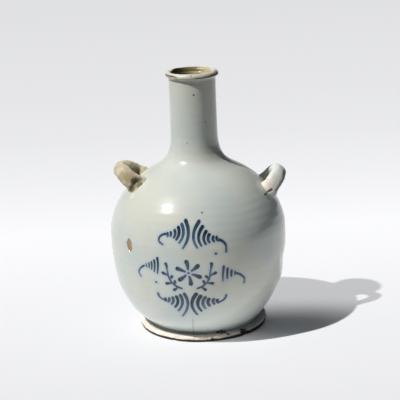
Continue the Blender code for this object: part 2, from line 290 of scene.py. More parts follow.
square_ring = spun(in_mm([(12.0, 2.0), (12.0, 0.0), (10.0, 0.0), (10.0, 2.0)]), 24)
print("a square outline spun in 24 columns has", len(square_ring.faces), "faces")
square_ring.free()

# %% [markdown]
# ## Brushwork, planned on the flat
# The front carries six wings of graduated strokes round a middle field. A painter sets the longest stroke
# first and lets the others shrink away from it, then ends in a curled tail. Each wing is described that way,
# which is shorter than a list of all its strokes: its first and last stroke with their widths, how many there
# are, how fast their tops and ends close in, how much they bow, and the tail with its widths. The plan is in
# millimetres, along the belly and up, from a line a little left of the front.

# %% The six wings
FRONT_AZIMUTH = math.radians(-97.0)
WINGS = {
    "upper_left": {
        "first": ((-1.9, 135.4), (-4.8, 109.6)), "last": ((-21.2, 123.6), (-20.8, 120.6)), "count": 6,
        "widths": (4.1, 2.7), "close_in": (1.6, 2.6), "bow": 0.17,
        "tail": ((-20.8, 122.4), (-25.2, 122.0), (-29.2, 119.2), (-29.8, 115.0), (-25.6, 112.0)),
        "tail_widths": (2.7, 2.2)},
    "upper_right": {
        "first": ((12.7, 134.2), (9.9, 109.4)), "last": ((29.6, 118.4), (30.9, 115.0)), "count": 6,
        "widths": (3.9, 3.0), "close_in": (1.7, 1.8), "bow": -0.2,
        "tail": ((30.0, 116.4), (34.4, 114.8), (38.3, 110.2), (38.4, 102.9)), "tail_widths": (3.3, 2.5)},
    "left": {
        "first": ((-32.1, 97.2), (-33.4, 81.4)), "last": ((-45.7, 89.2), (-45.7, 87.0)), "count": 5,
        "widths": (3.1, 2.1), "close_in": (1.2, 1.2), "bow": 0.05,
        "tail": ((-48.2, 87.6), (-53.6, 84.0), (-56.6, 79.0), (-54.4, 74.7)), "tail_widths": (2.2, 1.7)},
    "right": {
        "first": ((35.6, 88.1), (34.4, 72.8)), "last": ((47.4, 80.8), (47.6, 77.6)), "count": 4,
        "widths": (3.1, 2.4), "close_in": (1.1, 1.1), "bow": -0.03,
        "tail": ((48.4, 79.2), (54.0, 76.2), (58.2, 71.6), (58.3, 66.6)), "tail_widths": (2.6, 2.2)},
    "lower_left": {
        "first": ((-5.9, 60.9), (-11.5, 33.6)), "last": ((-27.9, 54.0), (-28.3, 50.6)), "count": 6,
        "widths": (4.0, 3.1), "close_in": (1.5, 2.0), "bow": 0.19,
        "tail": ((-28.6, 52.0), (-31.8, 53.0), (-34.8, 55.6), (-35.3, 58.9)), "tail_widths": (1.7, 3.4)},
    "lower_right": {
        "first": ((6.7, 60.4), (6.4, 35.3)), "last": ((29.0, 52.0), (30.2, 48.4)), "count": 6,
        "widths": (4.4, 3.7), "close_in": (1.6, 1.7), "bow": -0.21,
        "tail": ((30.2, 49.2), (34.0, 50.2), (37.2, 52.8), (38.2, 56.0)), "tail_widths": (1.9, 3.6)},
}
print(sum(wing["count"] for wing in WINGS.values()), "strokes and", len(WINGS), "tails")

# %% Strokes of one wing


def curve_through(points, count=24):
    """Evenly many points on a smooth curve through a few points of the plan."""
    steps = max(count // (len(points) - 1), 2)
    return smooth_through(points, steps)


def bowed(start, end, bow, count=20):
    """A stroke that swings to one side by a share of its length."""
    pull = (start + end) / 2.0 + Vector((2.0 * bow * (start - end).length, 0.0))
    return [(1 - t) ** 2 * start + 2.0 * t * (1 - t) * pull + t * t * end
            for t in (step / count for step in range(count + 1))]


def between(first, last, share, shrink):
    """A stroke's end: sideways by the share of the wing, up or down by how far the wing has closed in."""
    return Vector((first[0] + (last[0] - first[0]) * share, first[1] + (last[1] - first[1]) * shrink))


def wing_strokes(wing, hand):
    """The strokes of a wing as (path, widths, darkness), the longest first, then its tail."""
    strokes = []
    (first_top, first_end), (last_top, last_end) = wing["first"], wing["last"]
    for index in range(wing["count"]):
        share = index / (wing["count"] - 1)
        top_fall, end_fall = wing["close_in"]
        top = between(first_top, last_top, share, 1.0 - (1.0 - share) ** top_fall)
        end = between(first_end, last_end, share, 1.0 - (1.0 - share) ** end_fall)
        top += Vector((hand.uniform(-0.3, 0.3), hand.uniform(-0.4, 0.4)))
        end += Vector((hand.uniform(-0.3, 0.3), hand.uniform(-0.4, 0.4)))
        width = wing["widths"][0] + (wing["widths"][1] - wing["widths"][0]) * share
        width *= hand.uniform(0.94, 1.06)
        strokes.append((bowed(top, end, wing["bow"]), (width * 1.1, width * (0.55 + 0.4 * share)),
                        hand.uniform(0.68, 1.16)))
    strokes.append((curve_through(wing["tail"]), wing["tail_widths"], 0.85))
    return strokes


painters_hand = random.Random(7)
strokes = [stroke for wing in WINGS.values() for stroke in wing_strokes(wing, painters_hand)]
print(len(strokes), "strokes in the wings")

# %% [markdown]
# The middle field holds a small flower of six drop-shaped petals between two leafy sprigs, a motif that
# painters of such ware used everywhere. It is made of the same kind of strokes.

# %% The flower and its sprigs
FLOWER_CENTRE = Vector((0.0, 83.5))
PETALS, PETAL_START, PETAL_LENGTH, FIRST_PETAL_TURN = 6, 3.4, 8.6, 98.0
SPRIG_STEM = ((8.0, -17.0), (14.5, -14.0), (20.0, -7.5), (22.0, 2.5))
SPRIG_LEAVES = (  # the point of the stem that a leaf springs from, its turn from the stem, and its length
    (5, -62.0, 5.5), (9, 58.0, 4.0), (12, -58.0, 6.4), (16, 62.0, 4.2), (19, -56.0, 6.4), (24, 0.0, 6.6))
LOOSE_DOTS = ((-36.0, 71.5), (27.6, 102.5))


def turned_plan(angle):
    """A unit step on the plan in one direction, in degrees."""
    return Vector((math.cos(math.radians(angle)), math.sin(math.radians(angle))))


def flower_strokes():
    """Six petals round a small dot, each a brush pressed down at its outer end and drawn inwards."""
    made = []
    for index in range(PETALS):
        way = turned_plan(FIRST_PETAL_TURN + 360.0 * index / PETALS)
        outer = FLOWER_CENTRE + way * (PETAL_START + PETAL_LENGTH)
        made.append((bowed(outer, FLOWER_CENTRE + way * PETAL_START, 0.05), (5.6, 1.7), 0.9))
    half_dot = Vector((0.5, 0.0))
    made.append((bowed(FLOWER_CENTRE - half_dot, FLOWER_CENTRE + half_dot, 0.0), (2.2, 2.2), 0.8))
    return made


def sprig_strokes(side):
    """A stem with leaves that sweeps up from under the flower, on the left (-1) or the right (+1)."""
    stem = curve_through([FLOWER_CENTRE + Vector((side * x, y)) for x, y in SPRIG_STEM])
    made = [(stem, (2.2, 2.0), 0.8)]
    for place, turn, reach in SPRIG_LEAVES:
        along = stem[min(place + 1, len(stem) - 1)] - stem[place - 1]
        way = turned_plan(math.degrees(math.atan2(along.y, along.x)) + side * turn)
        made.append((bowed(stem[place] + way * reach, stem[place] + way * 0.8, 0.06), (4.0, 1.6), 0.9))
    return made


strokes += flower_strokes() + sprig_strokes(-1.0) + sprig_strokes(1.0)
for dot in (Vector(place) for place in LOOSE_DOTS):
    strokes.append((bowed(dot, dot + Vector((0.9, -0.2)), 0.0), (2.2, 2.0), 0.95))
print(len(strokes), "strokes in the whole ornament")

# %% Where a plan point lies on the wall


def plan_on_wall(point, proud=0.0):
    """The place on the glazed wall of a point of the plan."""
    return on_wall(FRONT_AZIMUTH + point[0] * MM / BELLY_RADIUS, point[1] * MM, proud)


stroke_tree = kdtree.KDTree(sum(len(path) for path, _, _ in strokes))
for number, point in enumerate(point for path, _, _ in strokes for point in path):
    stroke_tree.insert(plan_on_wall(point), number)
stroke_tree.balance()
print("first stroke starts at, mm:", [round(value / MM, 1) for value in plan_on_wall(strokes[0][0][0])])

# %% [markdown]
# ## The glazed pot
# Bowl, shoulder and neck are one wall of clay once fired, so one spun shell stands for the three solids. Its
# outside rows are close enough for soft reflections, its inside rows are wider apart. Under the lip it
# turns outwards, and at the foot the glaze runs out into a thin skirt on the flange.

# %% The pot's profile
COLUMNS, OUTSIDE_ROW, INSIDE_ROW = 300, 1.6 * MM, 5.5 * MM
OUTSIDE_TOP, OUTSIDE_LOW = 261.0 * MM, 7.9 * MM
BODY_WALL, NECK_WALL = 6.0 * MM, 4.0 * MM


def inside_radius(height):
    """Radius of the hollow: the outside less the wall, measured square to the outline."""
    step = 0.4 * MM
    slope = (outline_radius(height + step) - outline_radius(height - step)) / (2.0 * step)
    share = soft_step(FLARE_FOOT, FLARE_TOP, height)
    wall = BODY_WALL + (NECK_WALL - BODY_WALL) * share
    return outline_radius(height) - wall * min(math.sqrt(1.0 + slope * slope), 1.9)


def pot_profile():
    """The closed outline of the pot's wall: outside, skirt, seat and inside."""
    under_lip = [(26.75, 265.3), (26.0, 264.75), (25.0, 264.1), (24.35, 263.3), (24.02, 262.2)]
    outside = even_rows(outline_radius, OUTSIDE_TOP, OUTSIDE_LOW, OUTSIDE_ROW)
    skirt = [(57.9, 7.2), (58.4, 6.6), (59.4, 6.2), (60.8, 6.08), (61.0, 5.8)]
    seat = [(FLOOR_RADIUS / MM + 0.3, 6.0), (FLOOR_RADIUS / MM + 0.3, FLOOR_TOP / MM)]
    inside = even_rows(inside_radius, 262.0 * MM, 10.0 * MM, INSIDE_ROW)[::-1]
    top = [(20.0, 265.0), (23.0, 266.3)]
    return in_mm(under_lip) + outside + in_mm(skirt + seat) + inside + in_mm(top)


profile = pot_profile()
print("the pot's profile has", len(profile), "points")

# %% [markdown]
# On the left of the belly a flake of glaze and clay has broken away. It is a real hollow in the mesh: the
# faces there are divided first, so that its edge can be crisp.

# %% The chip's shape
CHIP_AZIMUTH, CHIP_HEIGHT = math.radians(-140.0), 104.5 * MM
CHIP_HALF_WIDTH, CHIP_HALF_HEIGHT, CHIP_DEPTH = 4.7 * MM, 7.5 * MM, 1.1 * MM


def chip_share(point):
    """How deep inside the chip a point of the wall lies: 0 outside, 1 well inside its ragged edge."""
    azimuth, radius = polar(point)
    if turn_between(azimuth, CHIP_AZIMUTH) > 0.15 or radius < BELLY_RADIUS - 4.0 * MM:
        return 0.0
    across = (azimuth - CHIP_AZIMUTH) * BELLY_RADIUS / CHIP_HALF_WIDTH
    up = (point.z - CHIP_HEIGHT) / CHIP_HALF_HEIGHT
    ragged = 0.12 * noise.noise(point / (3.0 * MM)) + 0.08 * noise.noise(point / (1.0 * MM))
    return soft_step(0.0, 0.22, 1.0 + ragged - math.hypot(across + 0.15 * up, up))


print("chip share at its middle:", chip_share(on_wall(CHIP_AZIMUTH, CHIP_HEIGHT)))

# %% Spin the pot and give it the potter's hand
pot_mesh = spun(profile, COLUMNS)
chip_centre = on_wall(CHIP_AZIMUTH, CHIP_HEIGHT)
near_chip = [edge for edge in pot_mesh.edges
             if all((vert.co - chip_centre).length < 11.0 * MM for vert in edge.verts)
             and all(polar(vert.co)[1] > BELLY_RADIUS - 3.0 * MM for vert in edge.verts)]
bmesh.ops.subdivide_edges(pot_mesh, edges=near_chip, cuts=3, use_grid_fill=True)
for vert in pot_mesh.verts:
    (azimuth, radius), height = polar(vert.co), vert.co.z
    on_outside = OUTSIDE_LOW - 0.1 * MM < height < OUTSIDE_TOP + 0.5 * MM
    if on_outside and radius > outline_radius(height) - 1.5 * MM:
        vert.co = on_wall(azimuth, height)
        deep = chip_share(vert.co)
        rough = 1.0 + 0.35 * noise.noise(vert.co / (1.6 * MM))
        vert.co -= around(azimuth, 1.0, 0.0) * CHIP_DEPTH * deep * rough
    elif height > 6.5 * MM:
        radius += potters_hand(azimuth, height) * soft_step(7.0 * MM, 12.0 * MM, height)
        shift = sideways(height) if height > 200.0 * MM or radius > FLOOR_RADIUS + 4.0 * MM else 0.0
        vert.co = around(azimuth, radius, height, shift)
pot = add_piece("glazed_pot", pot_mesh)
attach(pot, "root")
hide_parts("bowl", "shoulder", "neck")

# %% [markdown]
# A shader can't ask how far a place lies from the nearest brush stroke, or whether it lies in the chip. The
# script can, so it stores such facts on the points of the mesh, and the finish reads them later.

# %% What the pot's finish has to know of each place
BLEED_REACH = 4.0 * MM


def bleed_at(point):
    """How much cobalt has bled into the glaze: 1 on a stroke, 0 a few millimetres away."""
    if point.y > 0.0:
        return 0.0
    return 1.0 - soft_step(0.6 * MM, BLEED_REACH, stroke_tree.find(point)[2])


def inside_at(point):
    """1 inside the pot, 0 outside."""
    height = min(max(point.z, 8.0 * MM), 266.0 * MM)
    radius = math.hypot(point.x - sideways(point.z), point.y)
    return 1.0 if radius < outline_radius(height) - 2.2 * MM else 0.0


mark(pot, "bleed", bleed_at)
mark(pot, "inside", inside_at)
mark(pot, "chip", chip_share)
print("the pot carries:", [layer.name for layer in pot.data.attributes if layer.data_type == "FLOAT"])

# %% [markdown]
# ## The painted strokes
# Each stroke is a ribbon that follows the wall, a few hundredths of a millimetre proud, like the slightly
# raised cobalt on the real glaze. A painted image could do it too, but ribbons keep a crisp edge at any
# distance. A grid is laid along the path: round at the start where the brush was set down, fullest just
# after, and drawn out at its end. Its UV map runs along and across the stroke.

# %% How wide the brush presses along a stroke
PAINT_PROUD, PAINT_SINK = 0.05 * MM, 0.05 * MM


def brush_width(share, length, widths):
    """Half width of a stroke in millimetres at a share of its length, which runs on past its round ends."""
    width = widths[0] + (widths[1] - widths[0]) * share ** 1.3
    rounds = 1.0
    for away, cap in ((share * length, widths[0] * 0.5), ((1.0 - share) * length, widths[1] * 0.5)):
        rounds *= math.sqrt(max(1.0 - (1.0 - min(away / cap, 1.0)) ** 2, 0.0))
    return max(width / 2.0 * rounds, 0.03)


print("half widths of a 20 mm stroke:", [round(brush_width(s / 4, 20.0, (3.0, 1.6)), 2) for s in range(5)])

# %% Lay one ribbon
ACROSS = 6


def with_round_ends(path, widths):
    """The path, run on by a share of its width, so that its round ends lie outside the planned points."""
    start = path[0] + (path[0] - path[1]).normalized() * widths[0] * 0.4
    end = path[-1] + (path[-1] - path[-2]).normalized() * widths[1] * 0.4
    return [start, start.lerp(path[0], 0.4)] + path + [path[-1].lerp(end, 0.6), end]


def lay_ribbon(mesh, path, widths, darkness, uv_layer, ink_layer):
    """Map a grid onto one stroke of the plan and store its UVs and its darkness."""
    path = with_round_ends(path, widths)
    walked = [0.0]
    for before, after in zip(path, path[1:]):
        walked.append(walked[-1] + (after - before).length)
    length = walked[-1]
    made = bmesh.ops.create_grid(mesh, x_segments=len(path) - 1, y_segments=ACROSS, size=0.5)
    for vert in made["verts"]:
        index, side = round((vert.co.x + 0.5) * (len(path) - 1)), vert.co.y * 2.0
        share = walked[index] / length
        along = (path[min(index + 1, len(path) - 1)] - path[max(index - 1, 0)]).normalized()
        point = path[index] + Vector((-along.y, along.x)) * brush_width(share, length, widths) * side
        vert[ink_layer] = darkness * (1.0 - 0.42 * share)
        for loop in vert.link_loops:
            loop[uv_layer].uv = (share * length / 20.0, side * 0.5 + 0.5)
        vert.co = plan_on_wall(point, PAINT_PROUD)


paint_mesh = bmesh.new()
uv_layer = paint_mesh.loops.layers.uv.new("stroke")
ink_layer = paint_mesh.verts.layers.float.new("ink")
for path, widths, darkness in strokes:
    lay_ribbon(paint_mesh, path, widths, darkness, uv_layer, ink_layer)
print("the painting has", len(paint_mesh.faces), "faces before it gets its thickness")

# %% Give the paint its thickness
for face in paint_mesh.faces:
    centre = face.calc_center_median()
    if face.normal.dot(Vector((centre.x, centre.y, 0.0))) < 0.0:
        face.normal_flip()
bmesh.ops.solidify(paint_mesh, geom=paint_mesh.faces, thickness=PAINT_PROUD + PAINT_SINK)
paint = add_piece("brush_strokes", paint_mesh)
paint.data.set_sharp_from_angle(angle=math.radians(40.0))
mark(paint, "bleed", bleed_at)
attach(paint, "root")

# %% [markdown]
# ## The worn lip
# The lip is a roll of clay. Use has rubbed its glaze away in a thin brown line round its widest edge, and
# knocked a few small flakes out of it. A torus would be too even for a thumbed roll, so it is spun like the
# pot from an outline of its own and then dented by the same kind of noise.

# %% Spin the lip
LIP_COLUMNS, FLAKE_DEPTH = 200, 0.4 * MM


def lip_profile():
    """The roll's closed outline, from its widest edge over the top into the bore."""
    shown = smooth_through([(26.9, 265.3), (27.2, 266.1), (27.05, 267.3), (26.4, 268.6), (25.2, 269.5),
                            (23.8, 269.9), (22.5, 269.5), (21.5, 268.5), (20.8, 267.0), (20.3, 265.0),
                            (20.0, 262.6)], 4)
    hidden = [(21.5, 263.0), (23.5, 264.8)]
    return in_mm(shown + hidden)


def lip_flake(azimuth, height):
    """Depth of the flakes knocked out of the lip's edge."""
    where = around(azimuth, 4.5, height / (3.0 * MM))
    return FLAKE_DEPTH * soft_step(0.5, 0.68, noise.noise(where + Vector((3.0, 8.0, 1.0))))


lip_mesh = spun(lip_profile(), LIP_COLUMNS)
for vert in lip_mesh.verts:
    (azimuth, radius), height = polar(vert.co), vert.co.z
    edge = soft_step(25.5 * MM, 27.0 * MM, radius)
    wave = 0.25 * MM * (noise.noise(around(azimuth, 1.0, 5.0) * 1.6) - 0.5)
    radius += wave * edge - lip_flake(azimuth, height) * edge
    height += 0.3 * MM * (noise.noise(around(azimuth, 1.0, 9.0) * 1.3) - 0.6)
    vert.co = around(azimuth, radius, height, sideways(height))
lip = add_piece("worn_lip", lip_mesh)
mark(lip, "flake", lambda point: lip_flake(polar(point)[0], point.z) / FLAKE_DEPTH)
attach(lip, "root")
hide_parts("lip")

# %% [markdown]
# ## The bare foot
# The flange was wiped clean of glaze so that it wouldn't stick in the kiln. Its edge is pitted, and on the
# right a few flakes have broken out and gone dark. Each flake is a real hollow, deep enough to hold a shadow,
# which bump alone couldn't give. The underside shows the turner's shallow grooves.

# %% The foot's chips and pits
FOOT_COLUMNS = 460
FOOT_CHIPS = [  # azimuths in degrees, the rest in millimetres
    {"azimuth": -81.5, "height": 2.6, "size": 2.6, "depth": 0.9},
    {"azimuth": -66.5, "height": 6.5, "size": 3.0, "depth": 0.9},
    {"azimuth": -50.5, "height": 4.8, "size": 6.4, "depth": 1.6},
    {"azimuth": -118.0, "height": 0.8, "size": 2.6, "depth": 0.7},
    {"azimuth": -150.0, "height": 5.4, "size": 2.2, "depth": 0.6},
    {"azimuth": 75.0, "height": 5.2, "size": 4.4, "depth": 1.2},
    {"azimuth": 140.0, "height": 1.0, "size": 3.0, "depth": 0.9},
]


def foot_hollow(point):
    """How far a point of the foot's edge is broken away, as a depth and a share."""
    deepest, share = 0.0, 0.0
    for chip in FOOT_CHIPS:
        centre = around(math.radians(chip["azimuth"]), FOOT_RADIUS, chip["height"] * MM)
        away = (point - centre).length / (chip["size"] * MM)
        inside = soft_step(0.0, 0.45, 1.0 + 0.35 * noise.noise(point / (1.5 * MM)) - away)
        deepest, share = max(deepest, inside * chip["depth"] * MM), max(share, inside)
    return deepest, share


print("chips round the foot:", len(FOOT_CHIPS))

# %% Spin the foot ring


def foot_profile():
    """The flange's closed outline: ledge, rounded edge, underside and the seat of the floor."""
    edge, inner = FOOT_RADIUS / MM, FLOOR_RADIUS / MM + 0.3
    ledge = [(edge - 11.5 + 0.8 * step, 6.0) for step in range(13)]
    side = smooth_through([(edge - 1.7, 5.98), (edge - 0.75, 5.7), (edge - 0.2, 4.9), (edge - 0.02, 3.6),
                           (edge - 0.05, 2.0), (edge - 0.12, 0.8), (edge - 0.5, 0.04)], 4)
    under = [(edge - 3.0 - 1.2 * step, 0.0) for step in range(14)]
    back = [(inner, 0.5), (inner, 5.9)]
    return in_mm(ledge + side + under + back)


foot_mesh = spun(foot_profile(), FOOT_COLUMNS)
for vert in foot_mesh.verts:
    out = Vector((vert.co.x, vert.co.y, 0.0))
    radius = out.length
    out.normalize()
    edge = soft_step(FOOT_RADIUS - 7.0 * MM, FOOT_RADIUS - 0.5 * MM, radius)
    wave = 0.5 * MM * (noise.noise(out * 2.1) - 0.5) + 0.12 * MM * (noise.noise(vert.co / (2.2 * MM)) - 0.3)
    pit = 0.35 * MM * soft_step(0.35, 0.6, noise.noise(vert.co / (1.3 * MM) + Vector((2.0, 5.0, 1.0))))
    hollow = foot_hollow(vert.co)[0]
    vert.co -= out * (hollow + edge * (pit - min(wave, 0.0)))
    vert.co.x += FOOT_SHIFT * soft_step(FLOOR_RADIUS + 2.0 * MM, FLOOR_RADIUS + 8.0 * MM, radius)
    if vert.co.z > 4.0 * MM:
        vert.co.z -= hollow * 0.6 + edge * pit * 0.5
foot = add_piece("unglazed_foot", foot_mesh)
mark(foot, "broken", lambda point: foot_hollow(point)[1])
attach(foot, "root")
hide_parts("foot_ring")

# %% The floor inside the foot
FLOOR_COLUMNS, GROOVES, GROOVE_DEPTH = 160, 45, 0.35


def floor_profile():
    """The disc's outline from the axis out along the top and back along the grooved underside."""
    edge = FLOOR_RADIUS / MM
    top = [(0.0, 9.0)] + [(edge * step / 8.0, 9.0) for step in range(1, 8)] + [(edge - 0.6, 8.95)]
    rim = [(edge - 0.1, 8.4), (edge, 6.0), (edge - 0.1, 2.6)]
    grooves = [(edge - 0.5 - step, 2.0 + GROOVE_DEPTH * (1.0 - math.cos(step * 1.9)) / 2.0)
               for step in range(GROOVES)]
    return in_mm(top + rim + grooves + [(0.0, 2.3)])


floor_disc = add_piece("turned_floor", spun(floor_profile(), FLOOR_COLUMNS, closed=False))
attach(floor_disc, "root")
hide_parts("floor")

# %% [markdown]
# ## The strap lugs
# A potter pulls a strap of wet clay, bends it into a loop and thumbs its two ends onto the shoulder. A curve
# with a bevel would keep one section all along, but this strap broadens at its roots. So it is a row of oval
# rings bridged along an arch, whose ends spread where the thumb smeared them onto the wall, and a thin piece
# of the wall lies under them. A voxel remesh turns the heap into one skin, smoothing rounds the places where
# they meet, and noise and thumb marks make it hand-made.

# %% Where each lug stands
LUGS = {  # angles in degrees, lengths in millimetres, turns as shares of the arch from its front root
    "right": {"azimuth": 0.0, "tilt": 51.0, "root_height": 145.0, "spread": 29.5, "reach": 20.0,
              "width": 15.5, "root_width": 17.5, "thickness": 11.5, "front_drop": 0.0, "back_rise": 1.5,
              "front_turn": (0.1, 0.3), "back_turn": (0.38, 0.78)},
    "left": {"azimuth": -173.0, "tilt": 39.0, "root_height": 158.0, "spread": 28.5, "reach": 20.8,
             "width": 15.5, "root_width": 22.0, "thickness": 15.2, "front_drop": 2.8, "back_rise": 2.6,
             "front_turn": (0.12, 0.42), "back_turn": (0.48, 0.7)},
}
STRAP_ROOT_THICKNESS = 9.0 * MM
ROOT_SPREAD, ROOT_REACH = 2.6 * MM, 7.0 * MM
ARCH_POWER = 2.0 / 1.9


def lug_axes(lug):
    """The middle between a lug's roots, and its directions: its rise, across it and through its hole."""
    azimuth, tilt = math.radians(lug["azimuth"]), math.radians(lug["tilt"])
    radius = outline_radius(lug["root_height"] * MM)
    half_turn = math.asin(lug["spread"] * MM / 2.0 / radius)
    out = around(azimuth, 1.0, 0.0)
    centre = out * radius * math.cos(half_turn) + Vector((0.0, 0.0, lug["root_height"] * MM))
    rise = out * math.cos(tilt) + Vector((0.0, 0.0, math.sin(tilt)))
    across = Vector((math.sin(azimuth), -math.cos(azimuth), 0.0))
    return centre, rise, across, rise.cross(across).normalized()


for side, lug in LUGS.items():
    print(side, "lug stands at, mm:", [round(value / MM, 1) for value in lug_axes(lug)[0]])

# %% The strap as bridged rings
STRAP_RINGS, STRAP_SIDES, STRAP_TUCK = 33, 28, 4.0 * MM
STRAP_SQUARENESS, ARCH_STEP = 2.4, 0.02


def arch_point(lug, angle):
    """A point of the strap's middle line, from the front root over the top to the back root."""
    centre, rise, across, _ = lug_axes(lug)
    aside = math.copysign(abs(math.cos(angle)) ** ARCH_POWER, math.cos(angle)) * lug["spread"] * MM / 2.0
    upwards = abs(math.sin(angle)) ** ARCH_POWER * lug["reach"] * MM
    return centre + across * aside + rise * upwards


def strap_ring(mesh, lug, angle, tuck):
    """One rounded ring of the strap, laid square to its run, and tucked into the wall at the two ends."""
    _, _, across, through = lug_axes(lug)
    ahead, behind = min(angle + ARCH_STEP, math.pi), max(angle - ARCH_STEP, 0.0)
    along = (arch_point(lug, ahead) - arch_point(lug, behind)).normalized()
    side = along.cross(through).normalized()
    root = arch_point(lug, 0.0 if angle < math.pi / 2.0 else math.pi)
    away = min((arch_point(lug, angle) - root).length / ROOT_REACH, 1.0)
    smeared = ROOT_SPREAD * (1.0 - away) ** 2
    root_share = math.cos(angle) ** 2
    from_front = angle if across.y < 0.0 else math.pi - angle
    low_front = 1.0 - soft_step(*lug["front_turn"], from_front / math.pi)
    high_back = soft_step(*lug["back_turn"], from_front / math.pi)
    taller = (lug["back_rise"] * high_back - lug["front_drop"] * low_front) * MM / 2.0
    width = lug["width"] + (lug["root_width"] - lug["width"]) * root_share
    width = width * MM / 2.0 + 0.6 * smeared + taller
    thickness = lug["thickness"] * MM * (1.0 - root_share) + STRAP_ROOT_THICKNESS * root_share
    thickness = thickness / 2.0 + smeared
    centre = arch_point(lug, angle) + along * tuck + through * math.copysign(taller, taller * through.z)
    ring = bmesh.ops.create_circle(mesh, cap_ends=tuck != 0.0, radius=1.0, segments=STRAP_SIDES)["verts"]
    for vert in ring:
        x, y = vert.co.x, vert.co.y
        squared = (abs(x) ** STRAP_SQUARENESS + abs(y) ** STRAP_SQUARENESS) ** (-1.0 / STRAP_SQUARENESS)
        vert.co = centre + (through * width * x + side * thickness * y) * squared
    return ring


def add_strap(mesh, lug):
    """Lay the rings along the arch and bridge each to the next."""
    rings = [strap_ring(mesh, lug, 0.0, -STRAP_TUCK)]
    rings += [strap_ring(mesh, lug, math.pi * index / (STRAP_RINGS - 1), 0.0) for index in range(STRAP_RINGS)]
    rings.append(strap_ring(mesh, lug, math.pi, STRAP_TUCK))
    for before, after in zip(rings, rings[1:]):
        both = set(before) | set(after)
        edges = {edge for vert in both for edge in vert.link_edges if set(edge.verts) <= both}
        loops = [edge for edge in edges if (edge.verts[0] in before) == (edge.verts[1] in before)]
        bmesh.ops.bridge_loops(mesh, edges=loops)


print("a strap has", STRAP_RINGS + 2, "rings")

# %% The wall under the lug
PATCH_WIDTH, PATCH_HEIGHT, PATCH_DEPTH, PATCH_THICKNESS = 62.0, 44.0, 0.25, 3.0


def add_wall_patch(mesh, lug):
    """A curved slab just under the wall's surface, so that the remeshed skin runs out into the pot."""
    slab = bmesh.new()
    bmesh.ops.create_grid(slab, x_segments=40, y_segments=40, size=0.5)
    middle = math.radians(lug["azimuth"])
    for vert in slab.verts:
        azimuth = middle + vert.co.x * PATCH_WIDTH * MM / outline_radius(lug["root_height"] * MM)
        vert.co = on_wall(azimuth, (lug["root_height"] + vert.co.y * PATCH_HEIGHT) * MM, -PATCH_DEPTH * MM)
    bmesh.ops.recalc_face_normals(slab, faces=slab.faces)
    facing = sum(face.normal.dot(face.calc_center_median()) for face in slab.faces)
    if facing < 0.0:
        bmesh.ops.reverse_faces(slab, faces=slab.faces)
    bmesh.ops.solidify(slab, geom=slab.faces, thickness=PATCH_THICKNESS * MM)
    data = bpy.data.meshes.new("slab")
    slab.to_mesh(data)
    slab.free()
    mesh.from_mesh(data)
    bpy.data.meshes.remove(data)


print("the slab under a lug is", PATCH_WIDTH, "by", PATCH_HEIGHT, "mm")

# %% Remesh the heap into one skin
VOXEL, SMOOTHINGS = 0.5 * MM, 9


def one_skin(mesh, name):
    """Voxel remesh a heap of closed shapes into one skin, and smooth it."""
    bmesh.ops.recalc_face_normals(mesh, faces=mesh.faces)
    heap = add_piece(name + "_heap", mesh)
    remesh = heap.modifiers.new("one skin", "REMESH")
    remesh.mode = "VOXEL"
    remesh.voxel_size = VOXEL
    remesh.adaptivity = 0.0
    depsgraph = bpy.context.evaluated_depsgraph_get()
    skin = bmesh.new()
    skin.from_mesh(heap.evaluated_get(depsgraph).to_mesh())
    bpy.data.objects.remove(heap)
    for _ in range(SMOOTHINGS):
        bmesh.ops.smooth_vert(skin, verts=skin.verts, factor=0.5, use_axis_x=True, use_axis_y=True,
                              use_axis_z=True)
    return skin


print("one voxel is", VOXEL / MM, "mm wide")

# %% Work the skin by hand


def from_path(point, path):
    """The distance of a point from a line of straight pieces."""
    nearest = math.inf
    for start, end in zip(path, path[1:]):
        share = min(max((point - start).dot(end - start) / (end - start).length_squared, 0.0), 1.0)
        nearest = min(nearest, (point - start.lerp(end, share)).length)
    return nearest


def hand_worked(skin, marks, roughness):
    """Press in the marks, note their grime and painted shade, and give the skin the unevenness of hand-pulled
    clay.
    """
    grime, smear = skin.verts.layers.float.new("grime"), skin.verts.layers.float.new("smear")
    for vert in skin.verts:
        vert.normal_update()
    for vert in skin.verts:
        height = min(max(vert.co.z, FOOT_TOP), LIP_LOW)
        proud = polar(vert.co)[1] - outline_radius(height)
        push = roughness * (noise.noise(vert.co / (7.0 * MM)) + 0.3 * noise.noise(vert.co / (2.4 * MM)))
        push *= soft_step(0.3 * MM, 1.6 * MM, proud)
        ragged = 1.0 + 0.3 * noise.noise(vert.co / (1.8 * MM))
        for path, size, depth, dirt_and_shade in marks:
            away = from_path(vert.co, path) / (size * MM) * ragged
            if away < 1.0:
                push -= depth * MM * (1.0 - away * away) ** 2
                vert[grime] = max(vert[grime], dirt_and_shade * soft_step(1.0, 0.45, away))
        vert[smear] = soft_step(2.2 * MM, 0.9 * MM, proud * ragged)
        vert.co += vert.normal * push
    return skin


def make_lug(side, marks, roughness):
    """Make the strap and the wall under it one skin, which stands for the lug and its two wads."""
    heap = bmesh.new()
    add_strap(heap, LUGS[side])
    add_wall_patch(heap, LUGS[side])
    marks = [(in_mm(path), size, depth, dirt_and_shade) for path, size, depth, dirt_and_shade in marks]
    skin = hand_worked(one_skin(heap, side), marks, roughness)
    bmesh.ops.recalc_face_normals(skin, faces=skin.faces)
    piece = add_piece(f"{side}_strap_lug", skin)
    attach(piece, "root")
    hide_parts(f"{side}_lug", f"{side}_lug_front_wad", f"{side}_lug_back_wad")
    return piece


line = [Vector((-1.0, 0.0, 0.0)), Vector((1.0, 0.0, 0.0))]
print("a point 3 above a line is", from_path(Vector((0.0, 3.0, 0.0)), line), "away")
